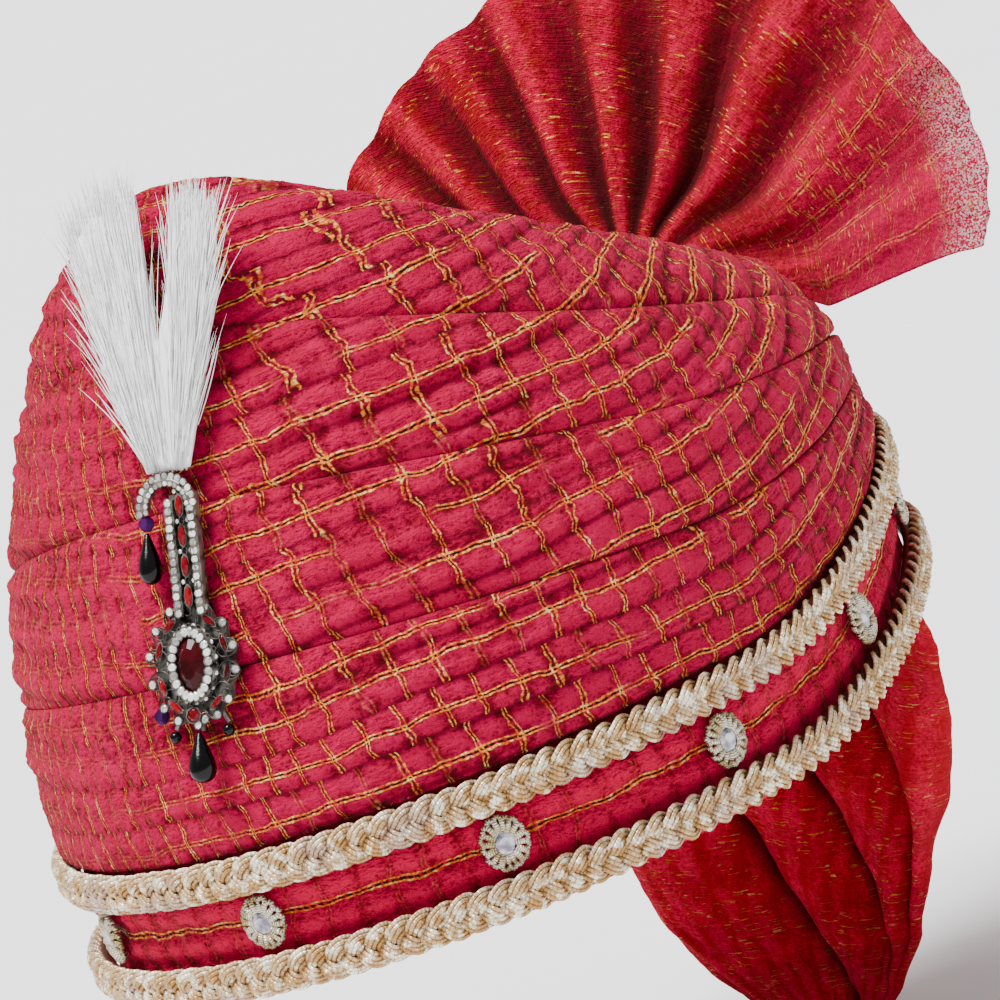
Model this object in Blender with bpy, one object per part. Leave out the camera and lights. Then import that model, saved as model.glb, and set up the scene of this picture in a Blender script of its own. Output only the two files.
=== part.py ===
"""Tied turban: wound band and wraps, plaited trim with mirror flowers, a pleated fan, a gathered tail
and a jewelled brooch with a feather plume. Metres, +Z up, the brooch faces -Y."""

from collections import namedtuple
from math import cos, hypot, pi, radians, sin

import bmesh
import bpy
from mathutils import Matrix, Vector

# Clearances
GAP = 0.0003
CLOTH_GAP = 0.0004

# Head opening and wound band
HEAD_HALF_WIDTH = 0.080
HEAD_HALF_DEPTH = 0.100
BAND_WALL = 0.0132
BAND_RIB = 0.0008
BAND_EDGE = 0.0020
RIM_BELOW_BRAID = 0.0010
BACK_ARCH = 0.0210
ARCH_STARTS = radians(70)
ARCH_ENDS = radians(130)

# Plaited trim
BRAID_HEIGHT = 0.0090
BRAID_DEPTH = 0.0068
BRAID_LUMP = 0.0004
BRAID_SPACING = 0.0225

# Mirror flowers
FLOWER_COUNT = 12
FLOWER_PETALS = 8
FLOWER_HALF_WIDTH = 0.0054
FLOWER_DEPTH = 0.0026
FLOWER_FIRST = radians(3)
MIRROR_SHARE = 0.46
MIRROR_DEPTH = 0.0010

# Crown
CROWN_FLARE = 0.0028
CROWN_FRONT_HEIGHT = 0.1355
CROWN_BACK_HEIGHT = 0.0485
CROWN_FALL = 1.12
WRAP_WALL = 0.0040
WRAP_RIB = 0.0014
WRAP_LAP = 0.045
TOP_WALL = 0.0024
TOP_SAG = 0.0140
TOP_PLEATS = 9
TOP_PLEAT_HEIGHT = 0.0030
STATIONS = 50

# Fan
FAN_RADIUS = 0.1110
FAN_LEAN = radians(26.4)
FAN_TURN = radians(9)
FAN_ROOT_BACK = 0.0103
FAN_PLEAT_HEIGHT = 0.0050
FAN_CLOTH = 0.0022
FAN_LIFT = 0.0170
NECK_HALF_WIDTH = 0.0100
NECK_THICKNESS = 0.0064
NECK_DEPTH = 0.0125

# Tail
TAIL_LENGTH = 0.1180
TAIL_HALF_SPREAD = radians(55)
TAIL_CLOTH = 0.0024
TAIL_FOLD_HEIGHT = 0.0080

# Brooch
BROOCH_ANGLE = radians(5)
BROOCH_SHARE = 0.29
BROOCH_LEAN = radians(5)
PLATE_HALF_WIDTH = 0.0108
PLATE_HALF_HEIGHT = 0.0128
PLATE_THICKNESS = 0.0014
PLATE_SCALLOPS = 14
GARNET_HALF_WIDTH = 0.0035
GARNET_HALF_HEIGHT = 0.0058
GARNET_DEPTH = 0.0024
RING_WIRE = 0.0013
STEM_LENGTH = 0.0235
STEM_HALF_WIDTH = 0.0042
STEM_OFFSET = 0.0010
RAIL_WIRE = 0.0014
HOOK_RADIUS = 0.0060
HOOK_OVERRUN = 0.04
PEG_RADIUS = 0.0005
PURPLE_BEAD = 0.0034
JET_BEAD = 0.0026
SIDE_DROP_LENGTH = 0.0110
SIDE_DROP_RADIUS = 0.0026
END_DROP_LENGTH = 0.0108
END_DROP_RADIUS = 0.0030

# Plume
PLUME_LENGTH = 0.0665
PLUME_LEAN = radians(4)
PLUME_THICKNESS = 0.0022

Turn = namedtuple("Turn", "name low high")
TURNS = (
    Turn("wrap_turn_1", 0.00, 0.27),
    Turn("wrap_turn_2", 0.27, 0.52),
    Turn("wrap_turn_3", 0.52, 0.77),
    Turn("wrap_turn_4", 0.77, 1.10),
)

# Fan ridges: direction, degrees from upright towards the wearer's left, and height as a share
Ridge = namedtuple("Ridge", "degrees height")
FAN_RIDGES = (
    Ridge(-52, 0.55),
    Ridge(-42, 0.75),
    Ridge(-32, 0.90),
    Ridge(-22, 1.00),
    Ridge(-10, 1.00),
    Ridge(3.5, 1.00),
    Ridge(18, 1.00),
    Ridge(33, 0.90),
    Ridge(54, 0.80),
    Ridge(75, 0.45),
)
FAN_LEFT = -58
FAN_RIGHT = 84

# Fan edge: direction and reach as a share of the fan's radius
Reach = namedtuple("Reach", "degrees share")
FAN_EDGE = (
    Reach(-58, 0.86),
    Reach(-50, 0.91),
    Reach(-40, 0.94),
    Reach(-20, 0.97),
    Reach(0, 0.99),
    Reach(25, 1.00),
    Reach(45, 0.99),
    Reach(60, 0.96),
    Reach(75, 0.91),
    Reach(84, 0.84),
)

# Fan rows: radius as a share of the edge's, fold height and cloth thickness as shares
FanRow = namedtuple("FanRow", "radius fold cloth")
FAN_ROWS = (
    FanRow(0.13, 0.00, 1.25),
    FanRow(0.27, 0.20, 1.10),
    FanRow(0.48, 0.52, 1.00),
    FanRow(0.73, 0.85, 1.00),
    FanRow(1.00, 1.00, 0.80),
)

# Tail sections: drop as a share of the length, edges as shares of the top's half width,
# depth at the middle and at the edges as shares of the head opening's half depth
TailRow = namedtuple("TailRow", "drop left right middle edge fold")
TAIL_ROWS = (
    TailRow(0.00, -1.00, 1.00, 1.06, 0.61, 0.35),
    TailRow(0.18, -0.87, 0.96, 1.10, 0.72, 0.75),
    TailRow(0.36, -0.71, 0.82, 1.08, 0.82, 1.00),
    TailRow(0.52, -0.66, 0.68, 1.04, 0.88, 1.00),
    TailRow(0.68, -0.62, 0.50, 1.01, 0.91, 0.85),
    TailRow(0.81, -0.52, 0.38, 0.98, 0.92, 0.70),
    TailRow(0.91, -0.38, 0.24, 0.96, 0.93, 0.50),
    TailRow(1.00, -0.24, 0.08, 0.95, 0.94, 0.30),
)

# Tail valleys between folds: place across the cloth at the top and at the bottom, as shares
Valley = namedtuple("Valley", "top bottom")
TAIL_VALLEYS = (
    Valley(0.00, 0.00),
    Valley(0.14, 0.30),
    Valley(0.34, 0.70),
    Valley(0.55, 0.84),
    Valley(0.75, 0.93),
    Valley(1.00, 1.00),
)

# Plume locks: tip and the notch before it, across and up, as shares of the plume's length
Lock = namedtuple("Lock", "tip_across tip_up notch_across notch_up")
PLUME_LOCKS = (
    Lock(-0.345, 0.83, -0.240, 0.52),
    Lock(-0.280, 0.91, -0.275, 0.70),
    Lock(-0.215, 0.98, -0.225, 0.78),
    Lock(-0.145, 1.00, -0.165, 0.82),
    Lock(-0.075, 0.995, -0.105, 0.80),
    Lock(-0.010, 0.96, -0.045, 0.74),
    Lock(0.105, 0.90, 0.025, 0.36),
    Lock(0.190, 0.89, 0.130, 0.66),
    Lock(0.270, 0.86, 0.200, 0.62),
    Lock(0.300, 0.68, 0.225, 0.50),
)
PLUME_LAST_NOTCH = (0.165, 0.30)
PLUME_BASE_SHARE = 0.075

# Sizes that follow from those above
BAND_HALF_WIDTH = HEAD_HALF_WIDTH + BAND_WALL
BAND_HALF_DEPTH = HEAD_HALF_DEPTH + BAND_WALL
LOWER_BRAID_Z = RIM_BELOW_BRAID + BRAID_HEIGHT / 2
UPPER_BRAID_Z = LOWER_BRAID_Z + BRAID_SPACING
BAND_HEIGHT = UPPER_BRAID_Z + BRAID_HEIGHT / 2
CROWN_HALF_WIDTH = BAND_HALF_WIDTH + CROWN_FLARE
CROWN_HALF_DEPTH = BAND_HALF_DEPTH + CROWN_FLARE
WRAP_TUCK = WRAP_WALL + CLOTH_GAP
FLOWER_ROOM = BRAID_SPACING - BRAID_HEIGHT - 2 * BRAID_LUMP - 2 * GAP
FLOWER_HALF_HEIGHT = FLOWER_ROOM / 2


def smooth(start, end, value):
    """Ease from 0 at start to 1 at end."""
    share = min(max((value - start) / (end - start), 0.0), 1.0)
    return share * share * (3 - 2 * share)


def table_value(rows, key, column, value):
    """Read a column of a table at a value of its key column, with straight steps between rows."""
    for low, high in zip(rows, rows[1:]):
        start = getattr(low, key)
        end = getattr(high, key)
        if value <= end:
            share = (value - start) / (end - start)
            return getattr(low, column) * (1 - share) + getattr(high, column) * share
    return getattr(rows[-1], column)


def arch(angle):
    """Rise of the rim at an angle round the head, which lifts it over the nape."""
    from_front = abs((angle + pi) % (2 * pi) - pi)
    return BACK_ARCH * smooth(ARCH_STARTS, ARCH_ENDS, from_front)


def oval_point(angle, half_width, half_depth, out, height):
    """Point on an oval round the head, moved outwards by out, with the rim's rise in its height."""
    across = Vector((half_width * sin(angle), -half_depth * cos(angle), 0))
    normal = Vector((sin(angle) / half_width, -cos(angle) / half_depth, 0)).normalized()
    return across + normal * out + Vector((0, 0, height + arch(angle)))


def crown_face(angle, share):
    """Point on the crown's smooth outer face at a share of its height."""
    lean = 0.25 + 0.24 * cos(angle)
    curve = 2.6 - 1.1 * cos(angle)
    size = 1 - lean * max(share, 0.0) ** curve
    round_over = 0.5 * (1 + cos(angle)) * max(0.0, share - 0.85) ** 2 / 0.54
    fall = ((1 + cos(angle)) / 2) ** CROWN_FALL
    top = CROWN_BACK_HEIGHT + (CROWN_FRONT_HEIGHT - CROWN_BACK_HEIGHT) * fall
    foot = arch(angle) + GAP
    height = BAND_HEIGHT + foot + (top - foot) * (share - round_over)
    return Vector((CROWN_HALF_WIDTH * size * sin(angle), -CROWN_HALF_DEPTH * size * cos(angle), height))


def crown_point(angle, share, out=0.0):
    """Point at a distance outwards from the crown's smooth face."""
    step = 0.004
    low = max(share - step, 0.0)
    along = crown_face(angle + step, share) - crown_face(angle - step, share)
    up = crown_face(angle, low + 2 * step) - crown_face(angle, low)
    return crown_face(angle, share) + along.cross(up).normalized() * out


def material(name, colour, metallic=0.0, roughness=0.6):
    """Plain Principled material for one piece."""
    made = bpy.data.materials.new(name)
    made.use_nodes = True
    shader = made.node_tree.nodes["Principled BSDF"]
    shader.inputs["Base Color"].default_value = (*colour, 1)
    shader.inputs["Metallic"].default_value = metallic
    shader.inputs["Roughness"].default_value = roughness
    return made


def mesh_object(name, points, faces, finish):
    """Closed mesh object with its faces turned outwards."""
    mesh = bpy.data.meshes.new(name)
    mesh.from_pydata([tuple(point) for point in points], [], faces)
    shape = bmesh.new()
    shape.from_mesh(mesh)
    bmesh.ops.triangulate(shape, faces=shape.faces)
    bmesh.ops.recalc_face_normals(shape, faces=shape.faces)
    if shape.calc_volume(signed=True) < 0:
        bmesh.ops.reverse_faces(shape, faces=shape.faces)
    shape.to_mesh(mesh)
    shape.free()
    made = bpy.data.objects.new(name, mesh)
    bpy.context.scene.collection.objects.link(made)
    made.data.materials.append(finish)
    return made


def loop_faces(rows, columns, closed_rows):
    """Quads over a grid whose columns close on themselves, and whose rows may."""
    faces = []
    for row in range(rows if closed_rows else rows - 1):
        for column in range(columns):
            after = (row + 1) % rows
            beside = (column + 1) % columns
            faces.append(
                (row * columns + column, row * columns + beside, after * columns + beside, after * columns + column)
            )
    return faces


def ring_solid(name, section, finish, stations=STATIONS):
    """Closed ring whose section at each angle comes from a function."""
    rows = [section(2 * pi * station / stations) for station in range(stations)]
    points = [point for row in rows for point in row]
    return mesh_object(name, points, loop_faces(stations, len(rows[0]), True), finish)


def lofted_points(sections):
    """Points and faces of a solid through sections of equal count, with flat ends."""
    count = len(sections[0])
    points = [point for section in sections for point in section]
    faces = loop_faces(len(sections), count, False)
    faces.append(tuple(range(count))[::-1])
    faces.append(tuple(range(len(points) - count, len(points))))
    return points, faces


def lofted_solid(name, sections, finish):
    """Solid through sections of equal count."""
    points, faces = lofted_points(sections)
    return mesh_object(name, points, faces, finish)


def sheet_solid(name, front, back, finish):
    """Cloth between two grids of points, closed along its edges."""
    rows = len(front)
    columns = len(front[0])
    points = [point for grid in (front, back) for row in grid for point in row]
    shift = rows * columns

    def at(side, row, column):
        return side * shift + row * columns + column

    faces = []
    for row in range(rows - 1):
        for column in range(columns - 1):
            corners = ((row, column), (row, column + 1), (row + 1, column + 1), (row + 1, column))
            faces.append(tuple(at(0, *corner) for corner in corners))
            faces.append(tuple(at(1, *corner) for corner in reversed(corners)))
    edge = [(0, column) for column in range(columns)]
    edge += [(row, columns - 1) for row in range(1, rows)]
    edge += [(rows - 1, column) for column in range(columns - 2, -1, -1)]
    edge += [(row, 0) for row in range(rows - 2, 0, -1)]
    for here, after in zip(edge, edge[1:] + edge[:1]):
        faces.append((at(0, *after), at(0, *here), at(1, *here), at(1, *after)))
    return mesh_object(name, points, faces, finish)


def band_section(angle):
    """Section of the wound band, with two soft folds between the braids."""
    middle = (LOWER_BRAID_Z + UPPER_BRAID_Z) / 2
    fold = BRAID_SPACING / 7
    outer = (
        (-BAND_EDGE, 0.0),
        (0.0, BAND_EDGE),
        (0.0, middle - 2 * fold),
        (BAND_RIB, middle - fold),
        (0.0, middle),
        (BAND_RIB, middle + fold),
        (0.0, middle + 2 * fold),
        (0.0, BAND_HEIGHT),
    )
    inner = ((0.0, BAND_HEIGHT), (0.0, 0.0))
    points = [oval_point(angle, BAND_HALF_WIDTH, BAND_HALF_DEPTH, out, height) for out, height in outer]
    points += [oval_point(angle, HEAD_HALF_WIDTH, HEAD_HALF_DEPTH, out, height) for out, height in inner]
    return points


def braid_section(height):
    """Section function of a plaited cord that lies on the band at a height."""

    def section(angle):
        lump = BRAID_LUMP * cos(angle * STATIONS / 2)
        half_depth = BRAID_DEPTH / 2
        half_height = BRAID_HEIGHT / 2 - BRAID_LUMP
        seat = GAP + half_depth + BRAID_LUMP
        points = []
        for corner in range(6):
            turn = 2 * pi * corner / 6
            out = seat + (half_depth + lump) * cos(turn)
            rise = (half_height + lump) * sin(turn) / sin(pi / 3)
            points.append(oval_point(angle, BAND_HALF_WIDTH, BAND_HALF_DEPTH, out, height + rise))
        return points

    return section


def turn_section(turn):
    """Section function of one wrap: its foot is tucked inside the wrap below it."""
    span = turn.high - turn.low
    tuck = WRAP_TUCK if turn.low > 0 else 0.0
    folds = ((0.30, WRAP_RIB), (0.52, 0.0), (0.76, WRAP_RIB), (1.0, 0.0))

    def section(angle):
        places = []
        if tuck:
            places.append((turn.low - WRAP_LAP, -tuck))
        places.append((turn.low, -tuck))
        places += [(turn.low + span * share, out) for share, out in folds]
        places.append((turn.high, -WRAP_WALL))
        places.append((turn.high - WRAP_LAP, -WRAP_WALL))
        foot = turn.low - WRAP_LAP if tuck else turn.low
        places.append((foot, -tuck - WRAP_WALL))
        return [crown_point(angle, share, out) for share, out in places]

    return section


def top_cloth(finish):
    """Gathered cloth that closes the crown, sagging inside the last wrap, with room behind for the fan."""
    columns = 4 * TOP_PLEATS
    share = TURNS[-1].high - WRAP_LAP
    edge = []
    for column in range(columns):
        angle = 2 * pi * column / columns
        point = crown_point(angle, share, -WRAP_WALL - CLOTH_GAP - TOP_WALL / 4)
        from_back = pi - abs((angle + pi) % (2 * pi) - pi)
        point.y -= (NECK_THICKNESS + WRAP_TUCK) * (1 - smooth(radians(11), radians(19), from_back))
        edge.append(point)
    centre = (edge[0] + edge[columns // 2]) / 2 - Vector((0, 0, TOP_SAG))
    grids = []
    for side in (0, 1):
        points = []
        for reach in (1.0, 0.62, 0.27):
            for column in range(columns):
                fold = (0, 1, 0, -1)[column % 4] * TOP_PLEAT_HEIGHT * reach * (1 - reach) * 4
                point = centre.lerp(edge[column], reach)
                point.z += TOP_SAG * (reach * reach - reach) + fold - side * TOP_WALL
                points.append(point)
        points.append(centre - Vector((0, 0, side * TOP_WALL)))
        grids.append(points)
    count = len(grids[0])
    faces = []
    for side in (0, 1):
        start = side * count
        faces += [tuple(start + corner for corner in face) for face in loop_faces(3, columns, False)]
        for column in range(columns):
            beside = (column + 1) % columns
            faces.append((start + 2 * columns + column, start + 2 * columns + beside, start + 3 * columns))
    for column in range(columns):
        beside = (column + 1) % columns
        faces.append((column, beside, count + beside, count + column))
    return mesh_object("top_cloth", grids[0] + grids[1], faces, finish)


def fan_columns():
    """Directions across the fan with the fold's height at each: four columns to a ridge."""
    middles = [(low.degrees + high.degrees) / 2 for low, high in zip(FAN_RIDGES, FAN_RIDGES[1:])]
    valleys = [FAN_LEFT] + middles + [FAN_RIGHT]
    columns = [(valleys[0], 0.0)]
    for ridge, start, end in zip(FAN_RIDGES, valleys, valleys[1:]):
        columns.append(((start + ridge.degrees) / 2, 0.55 * ridge.height))
        columns.append((ridge.degrees, ridge.height))
        columns.append(((end + ridge.degrees) / 2, 0.55 * ridge.height))
        columns.append((end, -0.6 * ridge.height if end < FAN_RIGHT else 0.0))
    return columns


def fan(finish):
    """Pleated fan whose gathered neck is held between the crown's back wall and its top cloth."""
    across = Vector((cos(FAN_TURN), sin(FAN_TURN), 0))
    up = Vector((-sin(FAN_LEAN) * sin(FAN_TURN), sin(FAN_LEAN) * cos(FAN_TURN), cos(FAN_LEAN)))
    front_way = up.cross(across).normalized()
    if front_way.y > 0:
        front_way.negate()
    rim = crown_face(pi, TURNS[-1].high)
    foot = crown_face(pi, TURNS[-1].low)
    sag = NECK_HALF_WIDTH**2 * CROWN_HALF_DEPTH / (2 * CROWN_HALF_WIDTH**2)
    wall = rim.y - WRAP_WALL - sag - GAP - NECK_THICKNESS / 2
    tucked = foot.y - WRAP_TUCK - WRAP_WALL - sag - GAP - NECK_THICKNESS / 2
    root = Vector((0, rim.y - FAN_ROOT_BACK, rim.z - FAN_LIFT * cos(FAN_LEAN) + 4 * GAP))
    columns = fan_columns()
    neck = (
        (rim.z - NECK_DEPTH, tucked, 0.95, 1.0),
        (rim.z - NECK_DEPTH / 2, (tucked + wall) / 2 - 1.5 * CLOTH_GAP, 1.00, 1.0),
        (rim.z + 4 * GAP, wall - 1.5 * CLOTH_GAP, 1.15, 0.5),
    )
    front = []
    back = []
    for height, depth, width, thick in neck:
        half = NECK_THICKNESS * thick / 2
        row = [
            Vector((NECK_HALF_WIDTH * width * (2 * number / (len(columns) - 1) - 1), depth, height))
            for number in range(len(columns))
        ]
        front.append([point - Vector((0, half, 0)) for point in row])
        back.append([point + Vector((0, half, 0)) for point in row])
    for level in FAN_ROWS:
        half = FAN_CLOTH * level.cloth / 2
        front_row = []
        back_row = []
        for degrees, fold in columns:
            direction = radians(degrees)
            edge = FAN_RADIUS * table_value(FAN_EDGE, "degrees", "share", degrees)
            radius = level.radius * (edge if level.radius > 0.5 else FAN_RADIUS)
            lift = FAN_LIFT * (1 - smooth(0.12, 0.54, level.radius))
            point = root + across * (radius * sin(direction)) + up * (radius * cos(direction) + lift)
            point += front_way * (FAN_PLEAT_HEIGHT * level.fold * fold)
            front_row.append(point + front_way * half)
            back_row.append(point - front_way * half)
        front.append(front_row)
        back.append(back_row)
    return sheet_solid("fan", front, back, finish)


def tail_columns(drop):
    """Places across the tail at a drop, with the fold's height at each: four columns to a fold."""
    valleys = [valley.top + (valley.bottom - valley.top) * drop for valley in TAIL_VALLEYS]
    columns = [(0.0, 0.0)]
    for start, end in zip(valleys, valleys[1:]):
        for share, fold in ((0.2, 0.62), (0.5, 1.0), (0.8, 0.62), (1.0, 0.0)):
            columns.append((start + (end - start) * share, fold))
    return columns


def tail(finish):
    """Loose end of the cloth, which drops from under the rim's arch in folds that draw together."""
    half_width = (BAND_HALF_WIDTH - BAND_WALL / 2) * sin(TAIL_HALF_SPREAD)
    front = []
    back = []
    for row in TAIL_ROWS:
        front_row = []
        back_row = []
        for share, fold in tail_columns(row.drop):
            x = half_width * (row.left + (row.right - row.left) * share)
            from_middle = 2 * share - 1
            depth = row.middle - (row.middle - row.edge) * from_middle * from_middle
            y = HEAD_HALF_DEPTH * depth - TAIL_FOLD_HEIGHT * row.fold * (fold - 0.5)
            z = arch(pi + from_middle * TAIL_HALF_SPREAD) - GAP - TAIL_LENGTH * row.drop
            front_row.append(Vector((x, y - TAIL_CLOTH / 2, z)))
            back_row.append(Vector((x, y + TAIL_CLOTH / 2, z)))
        front.append(front_row)
        back.append(back_row)
    return sheet_solid("tail", front, back, finish)


def flower_angles():
    """Angles that space the flowers evenly along the band."""
    steps = 3600
    lengths = [0.0]
    before = oval_point(FLOWER_FIRST, BAND_HALF_WIDTH, BAND_HALF_DEPTH, 0, 0)
    for step in range(1, steps + 1):
        angle = FLOWER_FIRST + 2 * pi * step / steps
        point = oval_point(angle, BAND_HALF_WIDTH, BAND_HALF_DEPTH, 0, 0)
        lengths.append(lengths[-1] + hypot(point.x - before.x, point.y - before.y))
        before = point
    angles = []
    for number in range(FLOWER_COUNT):
        wanted = lengths[-1] * number / FLOWER_COUNT
        step = min(range(len(lengths)), key=lambda place: abs(lengths[place] - wanted))
        angles.append(FLOWER_FIRST + 2 * pi * step / steps)
    return angles


def flower_places():
    """Matrix of each flower: X along the band, Y up it, Z outwards, seated clear of the band's folds."""
    places = []
    height = (LOWER_BRAID_Z + UPPER_BRAID_Z) / 2
    sag = FLOWER_HALF_WIDTH**2 / (2 * BAND_HALF_WIDTH)
    for angle in flower_angles():
        step = 0.02
        along = oval_point(angle + step, BAND_HALF_WIDTH, BAND_HALF_DEPTH, 0, 0)
        along -= oval_point(angle - step, BAND_HALF_WIDTH, BAND_HALF_DEPTH, 0, 0)
        along.normalize()
        out = Vector((sin(angle) / BAND_HALF_WIDTH, -cos(angle) / BAND_HALF_DEPTH, 0)).normalized()
        up = out.cross(along).normalized()
        seat = oval_point(angle, BAND_HALF_WIDTH, BAND_HALF_DEPTH, BAND_RIB + GAP + sag, height)
        place = Matrix((along, up, out)).transposed().to_4x4()
        places.append(Matrix.Translation(seat) @ place)
    return places


def flower(name, place, finish):
    """Wound petals round a recess for the mirror."""
    count = 2 * FLOWER_PETALS
    recess = MIRROR_SHARE + GAP / FLOWER_HALF_WIDTH
    levels = (
        (1.00, 0.84, 0.0),
        (0.86, 0.70, 1.0),
        (recess, recess, 0.85),
        (recess, recess, 0.35),
    )
    sections = []
    for petal, notch, depth in levels:
        section = []
        for corner in range(count):
            turn = 2 * pi * corner / count
            reach = notch if corner % 2 else petal
            flat = Vector((reach * FLOWER_HALF_WIDTH * cos(turn), reach * FLOWER_HALF_HEIGHT * sin(turn), 0))
            section.append(place @ (flat + Vector((0, 0, depth * FLOWER_DEPTH))))
        sections.append(section)
    return lofted_solid(name, sections, finish)


def mirror(name, place, finish):
    """Small oval mirror that lies in its flower."""
    floor = 0.35 * FLOWER_DEPTH + GAP
    sections = []
    for reach, height in ((1.0, 0.0), (0.85, 1.0)):
        section = []
        for corner in range(8):
            turn = 2 * pi * corner / 8
            wide = MIRROR_SHARE * reach * FLOWER_HALF_WIDTH * 0.97
            tall = MIRROR_SHARE * reach * FLOWER_HALF_HEIGHT * 0.97
            lift = floor + MIRROR_DEPTH * height
            section.append(place @ Vector((wide * cos(turn), tall * sin(turn), lift)))
        sections.append(section)
    return lofted_solid(name, sections, finish)


def brooch_place():
    """Matrix of the brooch: X to the wearer's left, Y up its stem, Z outwards, seated on the folds."""
    low = crown_point(BROOCH_ANGLE, BROOCH_SHARE - 0.17)
    high = crown_point(BROOCH_ANGLE, BROOCH_SHARE + 0.27)
    up = (high - low).normalized()
    side = crown_face(BROOCH_ANGLE + 0.05, BROOCH_SHARE) - crown_face(BROOCH_ANGLE - 0.05, BROOCH_SHARE)
    out = side.cross(up).normalized()
    side = up.cross(out).normalized()
    turn = Matrix.Rotation(-BROOCH_LEAN, 3, out)
    up = turn @ up
    side = turn @ side
    centre = crown_point(BROOCH_ANGLE, BROOCH_SHARE)
    proud = 0.0
    for station in range(-3, 4):
        for step in range(-10, 16):
            angle = BROOCH_ANGLE + station * 0.03
            point = crown_point(angle, BROOCH_SHARE + step * 0.02, WRAP_RIB)
            proud = max(proud, (point - centre).dot(out))
    frame = Matrix((side, up, out)).transposed().to_4x4()
    return Matrix.Translation(centre + out * (proud + GAP)) @ frame


def rod(path, radii, sides, place):
    """Points and faces of a round bar along a path in the brooch's plane."""
    sections = []
    for number, (here, radius) in enumerate(zip(path, radii)):
        before = path[max(number - 1, 0)]
        after = path[min(number + 1, len(path) - 1)]
        along = (after - before).normalized()
        flat = Vector((along.y, -along.x, 0)).normalized()
        normal = flat.cross(along)
        section = []
        for corner in range(sides):
            turn = 2 * pi * (corner + 0.5) / sides
            section.append(place @ (here + (flat * cos(turn) + normal * sin(turn)) * radius))
        sections.append(section)
    return lofted_points(sections)


def beaded_ring(half_width, half_height, wire, beads, depth, place):
    """Points and faces of an oval ring of set stones, its wire swelling at each."""
    stations = 2 * beads
    sections = []
    for station in range(stations):
        turn = 2 * pi * station / stations
        radius = wire * (1.0 if station % 2 else 0.78)
        centre = Vector((half_width * cos(turn), half_height * sin(turn), depth))
        out = Vector((cos(turn) / half_width, sin(turn) / half_height, 0)).normalized()
        section = []
        for corner in range(6):
            around = 2 * pi * corner / 6
            section.append(place @ (centre + (out * cos(around) + Vector((0, 0, sin(around)))) * radius))
        sections.append(section)
    points = [point for section in sections for point in section]
    return points, loop_faces(stations, 6, True)


def plate_points(place):
    """Points and faces of the scalloped plate behind the stones."""
    sections = []
    for depth in (0.0, PLATE_THICKNESS):
        section = []
        for corner in range(2 * PLATE_SCALLOPS):
            turn = 2 * pi * corner / (2 * PLATE_SCALLOPS)
            reach = 1.0 if corner % 2 else 0.88
            flat = Vector((PLATE_HALF_WIDTH * reach * cos(turn), PLATE_HALF_HEIGHT * reach * sin(turn), depth))
            section.append(place @ flat)
        sections.append(section)
    return lofted_points(sections)


def beside_plate(turn, away):
    """Point in the brooch's plane at a distance outside the plate's rim."""
    rim = Vector((PLATE_HALF_WIDTH * cos(turn), PLATE_HALF_HEIGHT * sin(turn), 0))
    out = Vector((cos(turn) / PLATE_HALF_WIDTH, sin(turn) / PLATE_HALF_HEIGHT, 0)).normalized()
    return rim + out * away


def stem_points(place):
    """Points and faces of the flat bar behind the stem's stones."""
    start = PLATE_HALF_HEIGHT * 0.6
    end = PLATE_HALF_HEIGHT + STEM_LENGTH
    sections = []
    for depth in (0.00015, PLATE_THICKNESS * 0.85):
        corners = (
            (STEM_OFFSET - STEM_HALF_WIDTH * 0.8, start),
            (STEM_OFFSET + STEM_HALF_WIDTH * 0.8, start),
            (STEM_OFFSET + STEM_HALF_WIDTH * 0.8, end),
            (STEM_OFFSET - STEM_HALF_WIDTH * 0.8, end),
        )
        sections.append([place @ Vector((x, y, depth)) for x, y in corners])
    return lofted_points(sections)


def swelling(count, wire):
    """Radii of a beaded wire, thick and thin by turns."""
    return [wire * (1.0 if number % 2 else 0.78) for number in range(count)]


def hook_path():
    """Centres of the right rail, over the top and down to the hook's end."""
    depth = PLATE_THICKNESS + RAIL_WIRE * 0.55
    right = STEM_OFFSET + STEM_HALF_WIDTH - RAIL_WIRE
    start = PLATE_HALF_HEIGHT * 0.80
    top = PLATE_HALF_HEIGHT + STEM_LENGTH - HOOK_RADIUS * 0.4
    path = [Vector((right, start + (top - start) * step / 12, depth)) for step in range(12)]
    for step in range(13):
        turn = pi * (1 + HOOK_OVERRUN) * step / 12
        across = right - HOOK_RADIUS + HOOK_RADIUS * cos(turn)
        path.append(Vector((across, top + HOOK_RADIUS * sin(turn) * 0.95, depth)))
    return path


def join_solids(name, shapes, finish):
    """One soldered solid from closed shapes that run into each other."""
    made = mesh_object(name, *shapes[0], finish)
    for number, (points, faces) in enumerate(shapes[1:]):
        other = mesh_object(f"{name}_{number}", points, faces, finish)
        cut = made.modifiers.new("solder", "BOOLEAN")
        cut.operation = "UNION"
        cut.solver = "EXACT"
        cut.object = other
        bpy.context.view_layer.update()
        view = bpy.context.evaluated_depsgraph_get()
        joined = bpy.data.meshes.new_from_object(made.evaluated_get(view))
        made.modifiers.clear()
        made.data = joined
        bpy.data.objects.remove(other)
    shape = bmesh.new()
    shape.from_mesh(made.data)
    bmesh.ops.remove_doubles(shape, verts=shape.verts, dist=0.00002)
    bmesh.ops.dissolve_degenerate(shape, edges=shape.edges, dist=0.00002)
    bmesh.ops.triangulate(shape, faces=shape.faces)
    shape.to_mesh(made.data)
    shape.free()
    made.data.materials.clear()
    made.data.materials.append(finish)
    return made


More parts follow.
